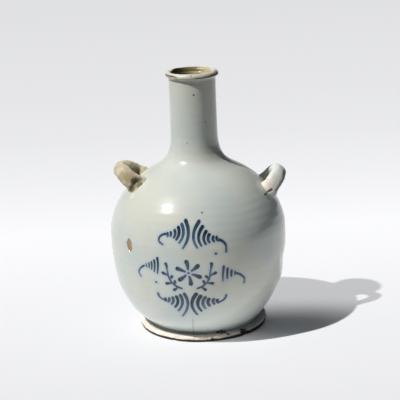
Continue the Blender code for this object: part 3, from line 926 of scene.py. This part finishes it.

# %% Make the two lugs
# The grime of these marks is also painted shade, in the thumbed hollow, the hole and the strap's shaded side.
LEFT_MARKS = [  # the line that a tool or thumb was drawn along, its size and depth, and its share of grime and painted shade
    (((-57.0, -27.0, 164.0), (-61.5, -26.5, 163.0)), 5.6, 1.9, 0.85),
    (((-61.5, -26.5, 162.0), (-66.4, -25.5, 153.0)), 4.2, 2.0, 0.95),
    (((-57.5, -26.5, 161.5), (-60.0, -26.0, 159.5)), 5.0, 0.0, 1.0),
    (((-69.0, -10.0, 168.0), (-62.0, 3.0, 165.0)), 7.5, 0.0, 0.9),
]
RIGHT_MARKS = [
    (((66.0, -4.0, 156.0), (74.0, 4.0, 152.0)), 7.5, 0.0, 0.95),
    (((72.0, -25.5, 144.2), (74.5, -22.0, 144.8), (77.5, -20.0, 146.0)), 1.8, 0.8, 0.85),
    (((91.8, -6.8, 160.7), (90.9, -10.8, 156.4)), 3.4, 0.5, 0.6),
    (((90.5, -11.5, 155.5), (86.8, -15.4, 151.4), (82.3, -17.9, 144.8)), 1.4, 0.6, 0.6),
]
right_lug = make_lug("right", RIGHT_MARKS, 0.3 * MM)
left_lug = make_lug("left", LEFT_MARKS, 0.4 * MM)

# %% [markdown]
# ## Finishes
# Colours are noted as they look on a screen and turned into the linear values that the shader works with.
# Patterns read Object coordinates, which are metres in the jug's own frame, or numbers stored on the mesh, so
# that a spot sits where it belongs without an image. Nodes are many and alike, so short calls make them.

# %% Colours as they look on a screen


def seen(red, green, blue):
    """A colour noted on a 0 to 255 screen scale, as the shader's linear value."""
    linear = []
    for value in (red / 255.0, green / 255.0, blue / 255.0):
        linear.append(value / 12.92 if value <= 0.04045 else ((value + 0.055) / 1.055) ** 2.4)
    return (*linear, 1.0)


print("a mid grey is seen as", [round(value, 3) for value in seen(128, 128, 128)[:3]])

# %% Short calls for nodes
ORIGIN = (0.0, 0.0, 0.0)


class Nodes:
    """A node tree, with short calls for the nodes that the finishes and the sky share."""

    def __init__(self, tree, coordinates):
        self.tree = tree
        self.place = self.node("TexCoord").outputs[coordinates]

    def node(self, kind, inputs=None, **settings):
        """Add a node with its settings, and set or link its inputs."""
        made = self.tree.nodes.new("ShaderNode" + kind)
        for name, value in settings.items():
            setattr(made, name, value)
        for name, value in (inputs or {}).items():
            self.feed(made.inputs[name], value)
        return made

    def feed(self, socket, value):
        """Link a socket to the output of a node, or set its value."""
        if isinstance(value, bpy.types.NodeSocket):
            self.tree.links.new(value, socket)
        else:
            socket.default_value = value

    def math(self, operation, first, second=0.0, clamp=False):
        return self.node("Math", {0: first, 1: second}, operation=operation, use_clamp=clamp).outputs[0]

    def plus(self, first, second):
        return self.math("ADD", first, second)

    def minus(self, first, second):
        return self.math("SUBTRACT", first, second)

    def times(self, first, second):
        return self.math("MULTIPLY", first, second)

    def largest(self, first, *others):
        for other in others:
            first = self.math("MAXIMUM", first, other)
        return first

    def axes(self, place=None):
        """The X, Y and Z of the place."""
        return self.node("SeparateXYZ", {0: place or self.place}).outputs[:]

    def distance(self, centre, place=None):
        """How far the place lies from a centre."""
        ends = {0: place or self.place, 1: centre}
        return self.node("VectorMath", ends, operation="DISTANCE").outputs["Value"]

    def ramp(self, value, low, high, out_low=0.0, out_high=1.0, shape="SMOOTHSTEP"):
        """A rise from one output to another as a value goes from low to high."""
        return self.node("MapRange", {"Value": value, "From Min": low, "From Max": high, "To Min": out_low,
                                      "To Max": out_high}, interpolation_type=shape).outputs["Result"]

    def gradient(self, value, stops):
        """A colour that follows a value through stops of position and colour."""
        made = self.node("ValToRGB", {"Fac": value})
        elements = made.color_ramp.elements
        for number, (position, colour) in enumerate(stops):
            stop = elements[number] if number < 2 else elements.new(position)
            stop.position, stop.color = position, colour
        return made.outputs[0]

    def looked_at(self):
        """1 for a ray that shows the surroundings to the camera, straight or by a reflection or glass."""
        rays = self.node("LightPath").outputs
        return self.largest(rays["Is Camera Ray"], rays["Is Glossy Ray"], rays["Is Transmission Ray"])

    def either(self, share, first, second):
        """A mix of two shaders."""
        return self.node("MixShader", {0: share, 1: first.outputs[0], 2: second.outputs[0]})


print("node calls:", [name for name in vars(Nodes) if not name.startswith("_")])

# %% Short calls for a finish


class Finish(Nodes):
    """A material, with short calls for what the jug's finishes share."""

    def __init__(self, name):
        self.material = bpy.data.materials.new(name)
        self.material.use_nodes = True
        super().__init__(self.material.node_tree, "Object")

    def shade(self, inputs):
        """Set or link the shader's own inputs."""
        for name, value in inputs.items():
            self.feed(self.tree.nodes["Principled BSDF"].inputs[name], value)

    def noise(self, size, detail=3.0, roughness=0.5, place=None, distortion=0.0):
        """A cloudy pattern whose clouds have a size in metres."""
        return self.node("TexNoise", {"Vector": place or self.place, "Scale": 1.0 / size, "Detail": detail,
                                      "Roughness": roughness, "Distortion": distortion}).outputs["Fac"]

    def waver(self, size, amount, **shape):
        """The same pattern about zero, which makes an even edge uneven by an amount."""
        return self.times(self.minus(self.noise(size, **shape), 0.5), amount)

    def mix(self, share, first, second, blend="MIX"):
        mixer = self.node("Mix", data_type="RGBA", blend_type=blend)
        for index, value in ((0, share), (6, first), (7, second)):
            self.feed(mixer.inputs[index], value)
        return mixer.outputs[2]

    def stored(self, name):
        """A number that was stored on the mesh."""
        return self.node("Attribute", attribute_name=name).outputs["Fac"]

    def patch(self, centre, radius, soft=0.12):
        """1 inside a ragged round patch, with a centre and radius in metres, and 0 outside."""
        away = self.plus(self.distance(centre), self.waver(radius * 0.8, radius * 2.2))
        return self.ramp(away, radius * (1.0 + soft), radius * (1.0 - soft))

    def spots(self, colour, places):
        """Lay ragged round spots, each with its centre, radius and colour, over a colour."""
        for centre, radius, tone in places:
            colour = self.mix(self.patch(centre, radius, 0.35), colour, tone)
        return colour

    def bump(self, height, strength, distance, below=None):
        inputs = {"Height": height, "Strength": strength, "Distance": distance}
        if below is not None:
            inputs["Normal"] = below
        return self.node("Bump", inputs).outputs["Normal"]


def dress(piece, material):
    """Give a piece its finish."""
    piece.data.materials.append(material)
    print(piece.name, "wears", material.name)


print("finish calls:", [name for name in vars(Finish) if not name.startswith("_")])

# %% [markdown]
# The tin glaze is an opaque bluish white with greenish and warm clouds and a few iron specks. It pools darker
# where it ran together above the foot, and that dark band, stronger on the right, is also painted shade in
# the corner over the foot. Low down it turns a little bluer, partly as a painted reflection. Painting all
# that on an image would leave a seam, so noise and cells make it from the place alone. The same colour lies
# under the paint, so one function makes it for both.

# %% The glaze's colour
GLAZE_COOL, GLAZE_LOW = (0.545, 0.60, 0.565, 1.0), (0.545, 0.585, 0.575, 1.0)
GLAZE_POOL_AND_SHADE, GLAZE_BLEED = (0.33, 0.41, 0.42, 1.0), (0.36, 0.46, 0.56, 1.0)
GLAZE_CLOUDS = [  # tone, the pattern's shape, where in it a cloud starts and is full, and how strong it is
    ((0.615, 0.625, 0.545, 1.0), {"size": 0.075, "detail": 2.0, "roughness": 0.45}, (0.36, 0.62), 1.0),
    ((0.64, 0.665, 0.635, 1.0), {"size": 0.03}, (0.5, 0.75), 0.6),
    ((0.49, 0.54, 0.44, 1.0), {"size": 0.045, "roughness": 0.55, "distortion": 0.4}, (0.58, 0.8), 0.55),
    ((0.66, 0.60, 0.555, 1.0), {"size": 0.022, "detail": 2.0, "distortion": 0.3}, (0.56, 0.76), 0.4),
]
SPECK = (0.055, 0.045, 0.035, 1.0)


def specks(finish, cell, radius, share):
    """Round specks scattered over a surface, one in each of a share of its cells."""
    cells = finish.node("TexVoronoi", {"Vector": finish.place, "Scale": 1.0 / cell}).outputs
    lot = finish.node("SeparateColor", {0: cells["Color"]}).outputs[0]
    inside = finish.ramp(cells["Distance"], radius / cell, radius / cell * 0.45)
    return finish.times(finish.math("LESS_THAN", lot, share), inside)


def glaze_colour(finish):
    """The glaze's colour, from its broad clouds to its specks, with painted shade over the foot and a bluer
    tone low down that is partly a painted reflection.
    """
    east, _, height = finish.axes()
    colour = GLAZE_COOL
    for tone, shape, (start, full), most in GLAZE_CLOUDS:
        colour = finish.mix(finish.ramp(finish.noise(**shape), start, full, 0.0, most), colour, tone)
    # Partly a painted reflection: the glaze turns a little bluer low on the belly.
    colour = finish.mix(finish.ramp(height, 0.07, 0.02, 0.0, 0.6), colour, GLAZE_LOW)
    # Pooled glaze and painted shade: a dark band in the corner above the foot, stronger on the right.
    uneven = finish.plus(height, finish.times(finish.noise(0.02), 0.006))
    pool_and_shade = finish.times(finish.ramp(uneven, 0.02, 0.0105), finish.ramp(east, -0.05, -0.005, 0.25, 0.75))
    colour = finish.mix(pool_and_shade, colour, GLAZE_POOL_AND_SHADE)
    colour = finish.mix(finish.times(finish.stored("bleed"), 0.72), colour, GLAZE_BLEED)
    dots = finish.largest(specks(finish, 0.021, 0.0006, 0.3), specks(finish, 0.009, 0.00025, 0.25))
    return finish.mix(finish.times(dots, 0.8), colour, SPECK)


print(len(GLAZE_CLOUDS), "kinds of cloud over the cool glaze")

# %% The glaze's gloss
GLAZE_ROUGHNESS, COAT = 0.4, 0.9


def glaze_surface(finish):
    """Gloss and the faint orange peel of a fired glaze."""
    peel = finish.bump(finish.noise(0.0035, 2.0), 0.25, 0.00009)
    finish.shade({"Roughness": GLAZE_ROUGHNESS, "Specular IOR Level": 0.1, "Coat Weight": COAT,
                  "Coat Roughness": 0.14, "Normal": finish.bump(finish.noise(0.014, 2.0), 0.6, 0.0003, peel)})


print("the glaze's clear coat has a weight of", COAT)

# %% [markdown]
# A few marks have a fixed place on the real jug: iron spots on the neck and shoulder, a dark crease beside
# the right lug, spots where the glaze crawled over the foot, and a hairline crack below them. Each is a
# ragged round patch with a centre, so it stays where it is from every side.

# %% Spots, a crease and a crack
POT_SPOTS = [  # centre, radius, colour
    ((0.0045, -0.0781, 0.1414), 0.0011, seen(120, 112, 84)),
    ((0.0012, -0.0239, 0.2488), 0.0009, seen(52, 56, 50)),
    ((0.0119, -0.0212, 0.2201), 0.0007, seen(116, 92, 70)),
    ((-0.0075, -0.0233, 0.1997), 0.0007, seen(150, 128, 98)),
    ((-0.0659, -0.0307, 0.1485), 0.0034, seen(226, 218, 198)),
    ((0.0728, -0.0290, 0.1402), 0.0040, seen(172, 170, 160)),
]
CREASE_START, CREASE_END = Vector((0.0694, -0.0315, 0.1440)), Vector((0.0718, -0.0256, 0.1441))
CREASE_SPOTS = 6
for step in range(CREASE_SPOTS):
    place = CREASE_START.lerp(CREASE_END, step / (CREASE_SPOTS - 1))
    POT_SPOTS.append((place, 0.0011, seen(66, 64, 54)))
FOOT_SPOTS = [
    ((0.0157, -0.0570, 0.0063), 0.0019, seen(58, 50, 42)),
    ((0.0190, -0.0560, 0.0063), 0.0024, seen(66, 58, 50)),
    ((0.0226, -0.0566, 0.0061), 0.0023, seen(58, 46, 38)),
    ((0.0190, -0.0598, 0.0058), 0.0017, seen(72, 60, 50)),
    ((0.0187, -0.0581, 0.0060), 0.0013, seen(208, 204, 194)),
]
CRACK_EAST, CRACK_TOP = -0.0093, (0.034, 0.026)
print(len(POT_SPOTS), "spots on the pot and", len(FOOT_SPOTS), "at its foot")

# %% Dress the pot


def glaze_finish():
    """The pot's glaze with its spots, a hairline crack, bare clay in the chip and a stained inside, with
    painted shade on its left and painted light on its right.
    """
    finish = Finish("tin_glaze")
    east, _, height = finish.axes()
    chip, inside = finish.stored("chip"), finish.stored("inside")
    colour = finish.spots(glaze_colour(finish), POT_SPOTS + FOOT_SPOTS)
    beside = finish.math("ABSOLUTE", finish.plus(finish.minus(east, CRACK_EAST), finish.waver(0.006, 0.0012)))
    crack = finish.times(finish.ramp(beside, 0.0005, 0.0001, 0.0, 0.6), finish.ramp(height, *CRACK_TOP))
    colour = finish.mix(crack, colour, SPECK)
    colour = finish.mix(finish.ramp(chip, 0.0, 0.4), colour, seen(222, 208, 186))
    clay = finish.mix(finish.noise(0.0022, 4.0, 0.6), seen(122, 98, 68), seen(182, 156, 122))
    colour = finish.mix(finish.ramp(chip, 0.3, 0.75), colour, clay)
    # The inside is stained, with painted shade making it near-black on the left and painted light making it
    # pale on the right.
    stain_shade_and_light = finish.mix(finish.ramp(east, -0.014, 0.01), seen(46, 40, 22), seen(196, 178, 138))
    glaze_surface(finish)
    matt = finish.ramp(finish.largest(chip, inside), 0.0, 1.0, GLAZE_ROUGHNESS, 0.75, "LINEAR")
    finish.shade({"Base Color": finish.mix(inside, colour, stain_shade_and_light), "Roughness": matt})
    return finish.material


dress(pot, glaze_finish())

# %% [markdown]
# Cobalt sinks into the glaze, so a stroke's edge fades, its start is inky blue-black, and its end thins to a
# grey blue with streaks of the brush. One flat blue would look printed. The mask across the stroke comes from
# its UV map, and the ink's darkness from the numbers stored along it.

# %% The cobalt
COBALT_DARK = (0.012, 0.03, 0.052, 1.0)
COBALT_MID = (0.05, 0.085, 0.13, 1.0)
COBALT_PALE = (0.14, 0.20, 0.26, 1.0)


def cobalt_finish():
    """Ink over the glaze's own colour: dark where the brush was full, pale and streaked where it ran dry."""
    finish = Finish("cobalt_paint")
    along, across, _ = finish.axes(finish.node("UVMap", uv_map="stroke").outputs["UV"])
    drawn_out = finish.node("CombineXYZ", {0: finish.times(along, 0.9), 1: finish.times(across, 0.5)})
    streaks = finish.waver(0.09, 0.7, roughness=0.6, place=drawn_out.outputs[0])
    ink = finish.plus(finish.plus(finish.stored("ink"), streaks), finish.waver(0.004, 0.5))
    paint = finish.mix(finish.ramp(ink, 0.35, 0.62), COBALT_PALE, COBALT_MID)
    paint = finish.mix(finish.ramp(ink, 0.6, 0.95), paint, COBALT_DARK)
    off_middle = finish.math("ABSOLUTE", finish.minus(across, 0.5))
    edge = finish.ramp(finish.plus(off_middle, finish.waver(0.0012, 0.12)), 0.5, 0.42)
    finish.shade({"Base Color": finish.mix(edge, glaze_colour(finish), paint)})
    glaze_surface(finish)
    return finish.material


dress(paint, cobalt_finish())

# %% [markdown]
# Bare and stained clay share one recipe: a cloudy cream-pink body with dark pits, matt, with a fine grain.
# The foot adds what happened to it: a film of glaze on its right and dark breaks. Low down where it
# stands, a painted contact shadow darkens its edge, thicker on the right.

# %% The foot's clay


def clay_colour(finish, dark, light, spot):
    """A clay body between two tones, with pits of a third."""
    colour = finish.mix(finish.ramp(finish.noise(0.009, 4.0, 0.6), 0.3, 0.7), dark, light)
    spots = finish.largest(specks(finish, 0.006, 0.0005, 0.45), specks(finish, 0.0028, 0.0002, 0.5))
    return finish.mix(finish.times(spots, 0.75), colour, spot)


def clay_surface(finish, roughness):
    """The grain of fired clay."""
    grain = finish.bump(finish.noise(0.0009, 4.0, 0.7), 0.5, 0.00015)
    finish.shade({"Roughness": roughness, "Normal": finish.bump(finish.noise(0.004), 0.5, 0.0003, grain)})


def foot_finish():
    """Bare clay with a film of glaze on the right, spots, dark breaks and a painted contact shadow along its
    lower edge.
    """
    finish = Finish("bare_clay")
    east, _, height = finish.axes()
    colour = clay_colour(finish, seen(216, 196, 176), seen(242, 232, 220), seen(120, 96, 78))
    film = finish.ramp(finish.plus(east, finish.waver(0.012, 0.03)), 0.014, 0.05, 0.0, 0.85)
    colour = finish.spots(finish.mix(film, colour, seen(168, 176, 176)), FOOT_SPOTS)
    broken = finish.mix(finish.noise(0.002), seen(30, 27, 24), seen(110, 90, 70))
    colour = finish.mix(finish.stored("broken"), colour, broken)
    # Painted contact shadow: the lowest few millimetres of the foot are darkened, higher on the right.
    uneven = finish.plus(height, finish.waver(0.005, 0.0016))
    uneven = finish.minus(uneven, finish.ramp(east, 0.01, 0.05, 0.0, 0.001))
    contact_shade = finish.largest(finish.ramp(uneven, 0.0032, 0.0023), finish.ramp(height, 0.002, 0.0015))
    finish.shade({"Base Color": finish.mix(contact_shade, colour, seen(34, 28, 25))})
    clay_surface(finish, 0.7)
    return finish.material


dress(foot, foot_finish())
dress(floor_disc, foot.data.materials[0])

# %% [markdown]
# The lip is cream on top. Its inside is stained olive, with painted shade making it near-black on the left
# and painted light making it pale tan on the right. Outside, the glaze is rubbed through in a brown line at
# the left and right, and in each flake. The line follows the height, pushed up and down by noise, because
# real wear keeps to an edge but never to a ruler.

# %% The worn lip's glaze
MOUTH_EDGE, OUTSIDE_EDGE = (0.0219, 0.0208), (0.0232, 0.0245)
WEAR_TOP, WEAR_FOOT = (0.2669, 0.2662), (0.2646, 0.2651)


def lip_finish():
    """Cream on top, stained inside with painted shade on the left and painted light on the right, and worn
    brown in a line round the outside and in the flakes.
    """
    finish = Finish("worn_lip_glaze")
    east, north, height = finish.axes()
    radius = finish.distance(ORIGIN, finish.node("CombineXYZ", {0: east, 1: north}).outputs[0])
    cloudy = finish.ramp(finish.noise(0.012, 4.0, 0.6), 0.35, 0.65)
    top = finish.mix(cloudy, seen(206, 203, 184), seen(224, 222, 208))
    # The inside: an olive stain, darkened on the left as painted shade and paled on the right as painted
    # light.
    olive_stain_and_shade = finish.mix(finish.ramp(east, -0.016, 0.0), seen(40, 34, 18), seen(112, 104, 66))
    inner = finish.mix(finish.ramp(east, 0.003, 0.017), olive_stain_and_shade, seen(196, 180, 138))
    uneven = finish.waver(0.008, 0.0014)
    shown = finish.minus(finish.plus(radius, uneven), finish.ramp(north, 0.004, 0.018, 0.0, 0.0019))
    colour = finish.mix(finish.ramp(shown, *MOUTH_EDGE), top, inner)
    level = finish.minus(height, finish.ramp(east, -0.012, -0.018, 0.0, 0.0017))
    worn_top = finish.plus(level, finish.minus(uneven, finish.ramp(east, 0.008, 0.026, 0.0, 0.0011)))
    line = finish.times(finish.ramp(worn_top, *WEAR_TOP), finish.ramp(level, *WEAR_FOOT))
    rubbed = finish.largest(finish.ramp(east, -0.013, -0.017), finish.ramp(east, 0.0, 0.006))
    worn = finish.largest(finish.times(line, rubbed), finish.stored("flake"))
    worn = finish.times(worn, finish.ramp(radius, *OUTSIDE_EDGE, 0.0, 0.92))
    finish.shade({"Base Color": finish.mix(worn, colour, seen(86, 66, 46))})
    clay_surface(finish, 0.4)
    return finish.material


dress(lip, lip_finish())

# %% [markdown]
# The two lugs have aged apart. The right one keeps its glaze, mixed paler than the pot's as painted light,
# but for a raw patch on its front root, while the left one is worn to stained clay. The marks noted on each
# mesh say where grime has gathered and where shade is painted into hollows and shaded sides, so the dark lies
# there without being placed again.

# %% The lugs' finishes


def right_lug_finish():
    """Glaze over most of the strap, mixed paler as painted light, a raw patch on its front root, and grime
    with painted shade in its marks.
    """
    finish = Finish("lug_glaze")
    raw, grime = finish.patch((0.0727, -0.0185, 0.1515), 0.0078), finish.stored("grime")
    clay = clay_colour(finish, seen(222, 208, 188), seen(246, 238, 224), seen(160, 138, 114))
    # Painted light: the strap's glaze is mixed paler than the pot's, for its sunlit face.
    colour = finish.mix(0.55, glaze_colour(finish), seen(234, 236, 226))
    colour = finish.mix(raw, colour, clay)
    glaze_surface(finish)
    matt = finish.largest(raw, grime)
    finish.shade({"Base Color": finish.mix(finish.times(grime, 0.85), colour, seen(46, 44, 36)),
                  "Roughness": finish.ramp(matt, 0.0, 1.0, GLAZE_ROUGHNESS, 0.8),
                  "Coat Weight": finish.ramp(matt, 0.0, 0.6, COAT / 2.0, 0.0)})
    return finish.material


def left_lug_finish():
    """Stained clay, ochre down the front, grime with painted shade in the thumbed hollow, pale at the root.
    """
    finish = Finish("stained_clay")
    colour = clay_colour(finish, seen(184, 170, 138), seen(222, 214, 190), seen(92, 74, 40))
    ochre = finish.patch((-0.0705, -0.0247, 0.1660), 0.0042, 0.9)
    colour = finish.mix(ochre, colour, seen(176, 158, 104))
    colour = finish.mix(finish.stored("smear"), colour, seen(216, 208, 182))
    grime = finish.mix(finish.noise(0.004), seen(52, 40, 18), seen(122, 116, 78))
    finish.shade({"Base Color": finish.mix(finish.times(finish.stored("grime"), 0.92), colour, grime)})
    clay_surface(finish, 0.5)
    return finish.material


dress(right_lug, right_lug_finish())
dress(left_lug, left_lug_finish())

# %% [markdown]
# ## Floor, light and camera
# The jug stands on a plain pale floor under one sun from the upper left, with a dim sky that is brightest
# overhead. A photographer would use a sheet of paper and a reflector. Here the floor does both jobs, each set
# by itself: the camera sees a set brightness, mixed with the floor's real shading, which counts in full on
# the side where the shadow falls, and the jug gets light back from the floor close to it, but little from
# further off. So the background stays pale without more light on the jug.

# %% The floor's look and its bounce
FLOOR_SIZE = 12.0
FLOOR_STOPS = [(-0.25, 235), (-0.1, 240), (0.03, 244), (0.2, 250), (0.33, 253), (0.5, 246), (0.62, 242),
               (0.9, 235), (1.3, 231), (2.6, 226)]  # distance behind the jug, and the grey that is seen there
NEAR_FLOOR = 0.9
FLOOR_SHADING, FOOT_SHADING = 0.44, 1.0
SHADE_CENTRE, SHADE_REACH = (0.085, -0.030, 0.0), (0.115, 0.055, 1.0)
NEAR_BOUNCE, FAR_BOUNCE = 1.07, 0.04
BOUNCE_CENTRE, BOUNCE_NEAR, BOUNCE_FAR = (0.065, -0.05, 0.0), 0.14, 0.42
FLOOR_TINT = (0.9, 0.9, 0.9, 1.0)


def floor_look(finish):
    """What the camera sees of the floor: set greys that fall off with distance, and the shadow."""
    north = finish.largest(finish.axes()[1], finish.minus(finish.distance(ORIGIN), NEAR_FLOOR))
    low, high = FLOOR_STOPS[0][0], FLOOR_STOPS[-1][0]
    share = finish.math("DIVIDE", finish.minus(north, low), high - low, clamp=True)
    stops = [((where - low) / (high - low), seen(level, level, level + 1)) for where, level in FLOOR_STOPS]
    grey = finish.gradient(share, stops)
    shown = finish.node("Emission", {"Color": grey, "Strength": 1.0})
    shaded = finish.node("BsdfDiffuse", {"Color": finish.mix(1.0, grey, FLOOR_TINT, "MULTIPLY")})
    away = finish.node("VectorMath", {0: finish.place, 1: SHADE_CENTRE}, operation="SUBTRACT").outputs[0]
    away = finish.node("VectorMath", {0: away, 1: SHADE_REACH}, operation="DIVIDE").outputs[0]
    shading = finish.ramp(finish.distance(ORIGIN, away), 1.6, 0.2, FLOOR_SHADING, FOOT_SHADING)
    return finish.either(shading, shown, shaded)


def floor_finish():
    """The floor's look for the camera and reflections, and another brightness for the light it throws."""
    finish = Finish("pale_floor")
    bounce = finish.ramp(finish.distance(BOUNCE_CENTRE), BOUNCE_NEAR, BOUNCE_FAR, NEAR_BOUNCE, FAR_BOUNCE)
    plain = finish.node("BsdfDiffuse", {"Color": bounce})
    final = finish.either(finish.looked_at(), plain, floor_look(finish))
    finish.feed(finish.tree.nodes["Material Output"].inputs["Surface"], final.outputs[0])
    return finish.material


floor_mesh = bmesh.new()
bmesh.ops.create_grid(floor_mesh, x_segments=8, y_segments=8, size=FLOOR_SIZE / 2.0)
ground = add_piece("ground", floor_mesh)
dress(ground, floor_finish())

# %% The sun
SUN_DIRECTION = Vector((-0.535, -0.25, 0.806))
SUN_STRENGTH, SUN_ANGLE = 3.85, math.radians(1.0)

sun_data = bpy.data.lights.new("sun", "SUN")
sun_data.energy = SUN_STRENGTH
sun_data.angle = SUN_ANGLE
sun = bpy.data.objects.new("sun", sun_data)
sun.rotation_euler = SUN_DIRECTION.to_track_quat("Z", "Y").to_euler()
bpy.context.scene.collection.objects.link(sun)
print("the sun stands", round(math.degrees(math.asin(SUN_DIRECTION.normalized().z))), "degrees high")

# %% The sky
SKY_LIGHT = [(0.1, (0.006, 0.007, 0.009, 1.0)), (0.8, (0.122, 0.131, 0.15, 1.0))]
SKY_SHOWN = [(0.0, seen(226, 227, 229)), (0.35, seen(84, 89, 97))]


def sky():
    """A dim light from overhead, and for the camera and reflections a pale horizon under a darker zenith."""
    world = bpy.data.worlds.new("studio")
    world.use_nodes = True
    nodes = Nodes(world.node_tree, "Generated")
    east, _, height = nodes.axes()
    light = nodes.node("Background", {"Color": nodes.gradient(height, SKY_LIGHT)})
    dimmer = nodes.ramp(east, 0.15, 0.5, 1.0, 0.15, "LINEAR")
    shown = nodes.node("Background", {"Color": nodes.gradient(height, SKY_SHOWN), "Strength": dimmer})
    final = nodes.either(nodes.looked_at(), light, shown)
    nodes.feed(nodes.tree.nodes["World Output"].inputs["Surface"], final.outputs[0])
    return world


bpy.context.scene.world = sky()
bpy.context.scene.view_settings.view_transform = "Standard"
print("the sky is", bpy.context.scene.world.name)

# %% [markdown]
# The camera stands where the photographer stood: a little above the jug, a good metre away, with a slight
# roll. It was found from the ovals of the foot and the mouth, whose flatness tells how far down it looks.

# %% The camera
CAMERA_PLACE = Vector((0.0032, -1.2807, 0.490676))
CAMERA_PITCH, CAMERA_ROLL, CAMERA_LENS = math.radians(15.621), math.radians(2.4268), 114.416

camera_data = bpy.data.cameras.new("camera")
camera_data.lens = CAMERA_LENS
camera_data.sensor_width = 36.0
camera_data.clip_end = 50.0
camera = bpy.data.objects.new("camera", camera_data)
pitched = Matrix.Rotation(math.pi / 2.0 - CAMERA_PITCH, 3, "X")
rolled = Matrix.Rotation(-CAMERA_ROLL, 3, "Z")
camera.matrix_world = Matrix.Translation(CAMERA_PLACE) @ (pitched @ rolled).to_4x4()
bpy.context.scene.collection.objects.link(camera)
bpy.context.scene.camera = camera
print("camera", round(CAMERA_PLACE.length, 3), "m from the jug's foot")

# %% [markdown]
# The dressed jug has to fill the same space as its solids.
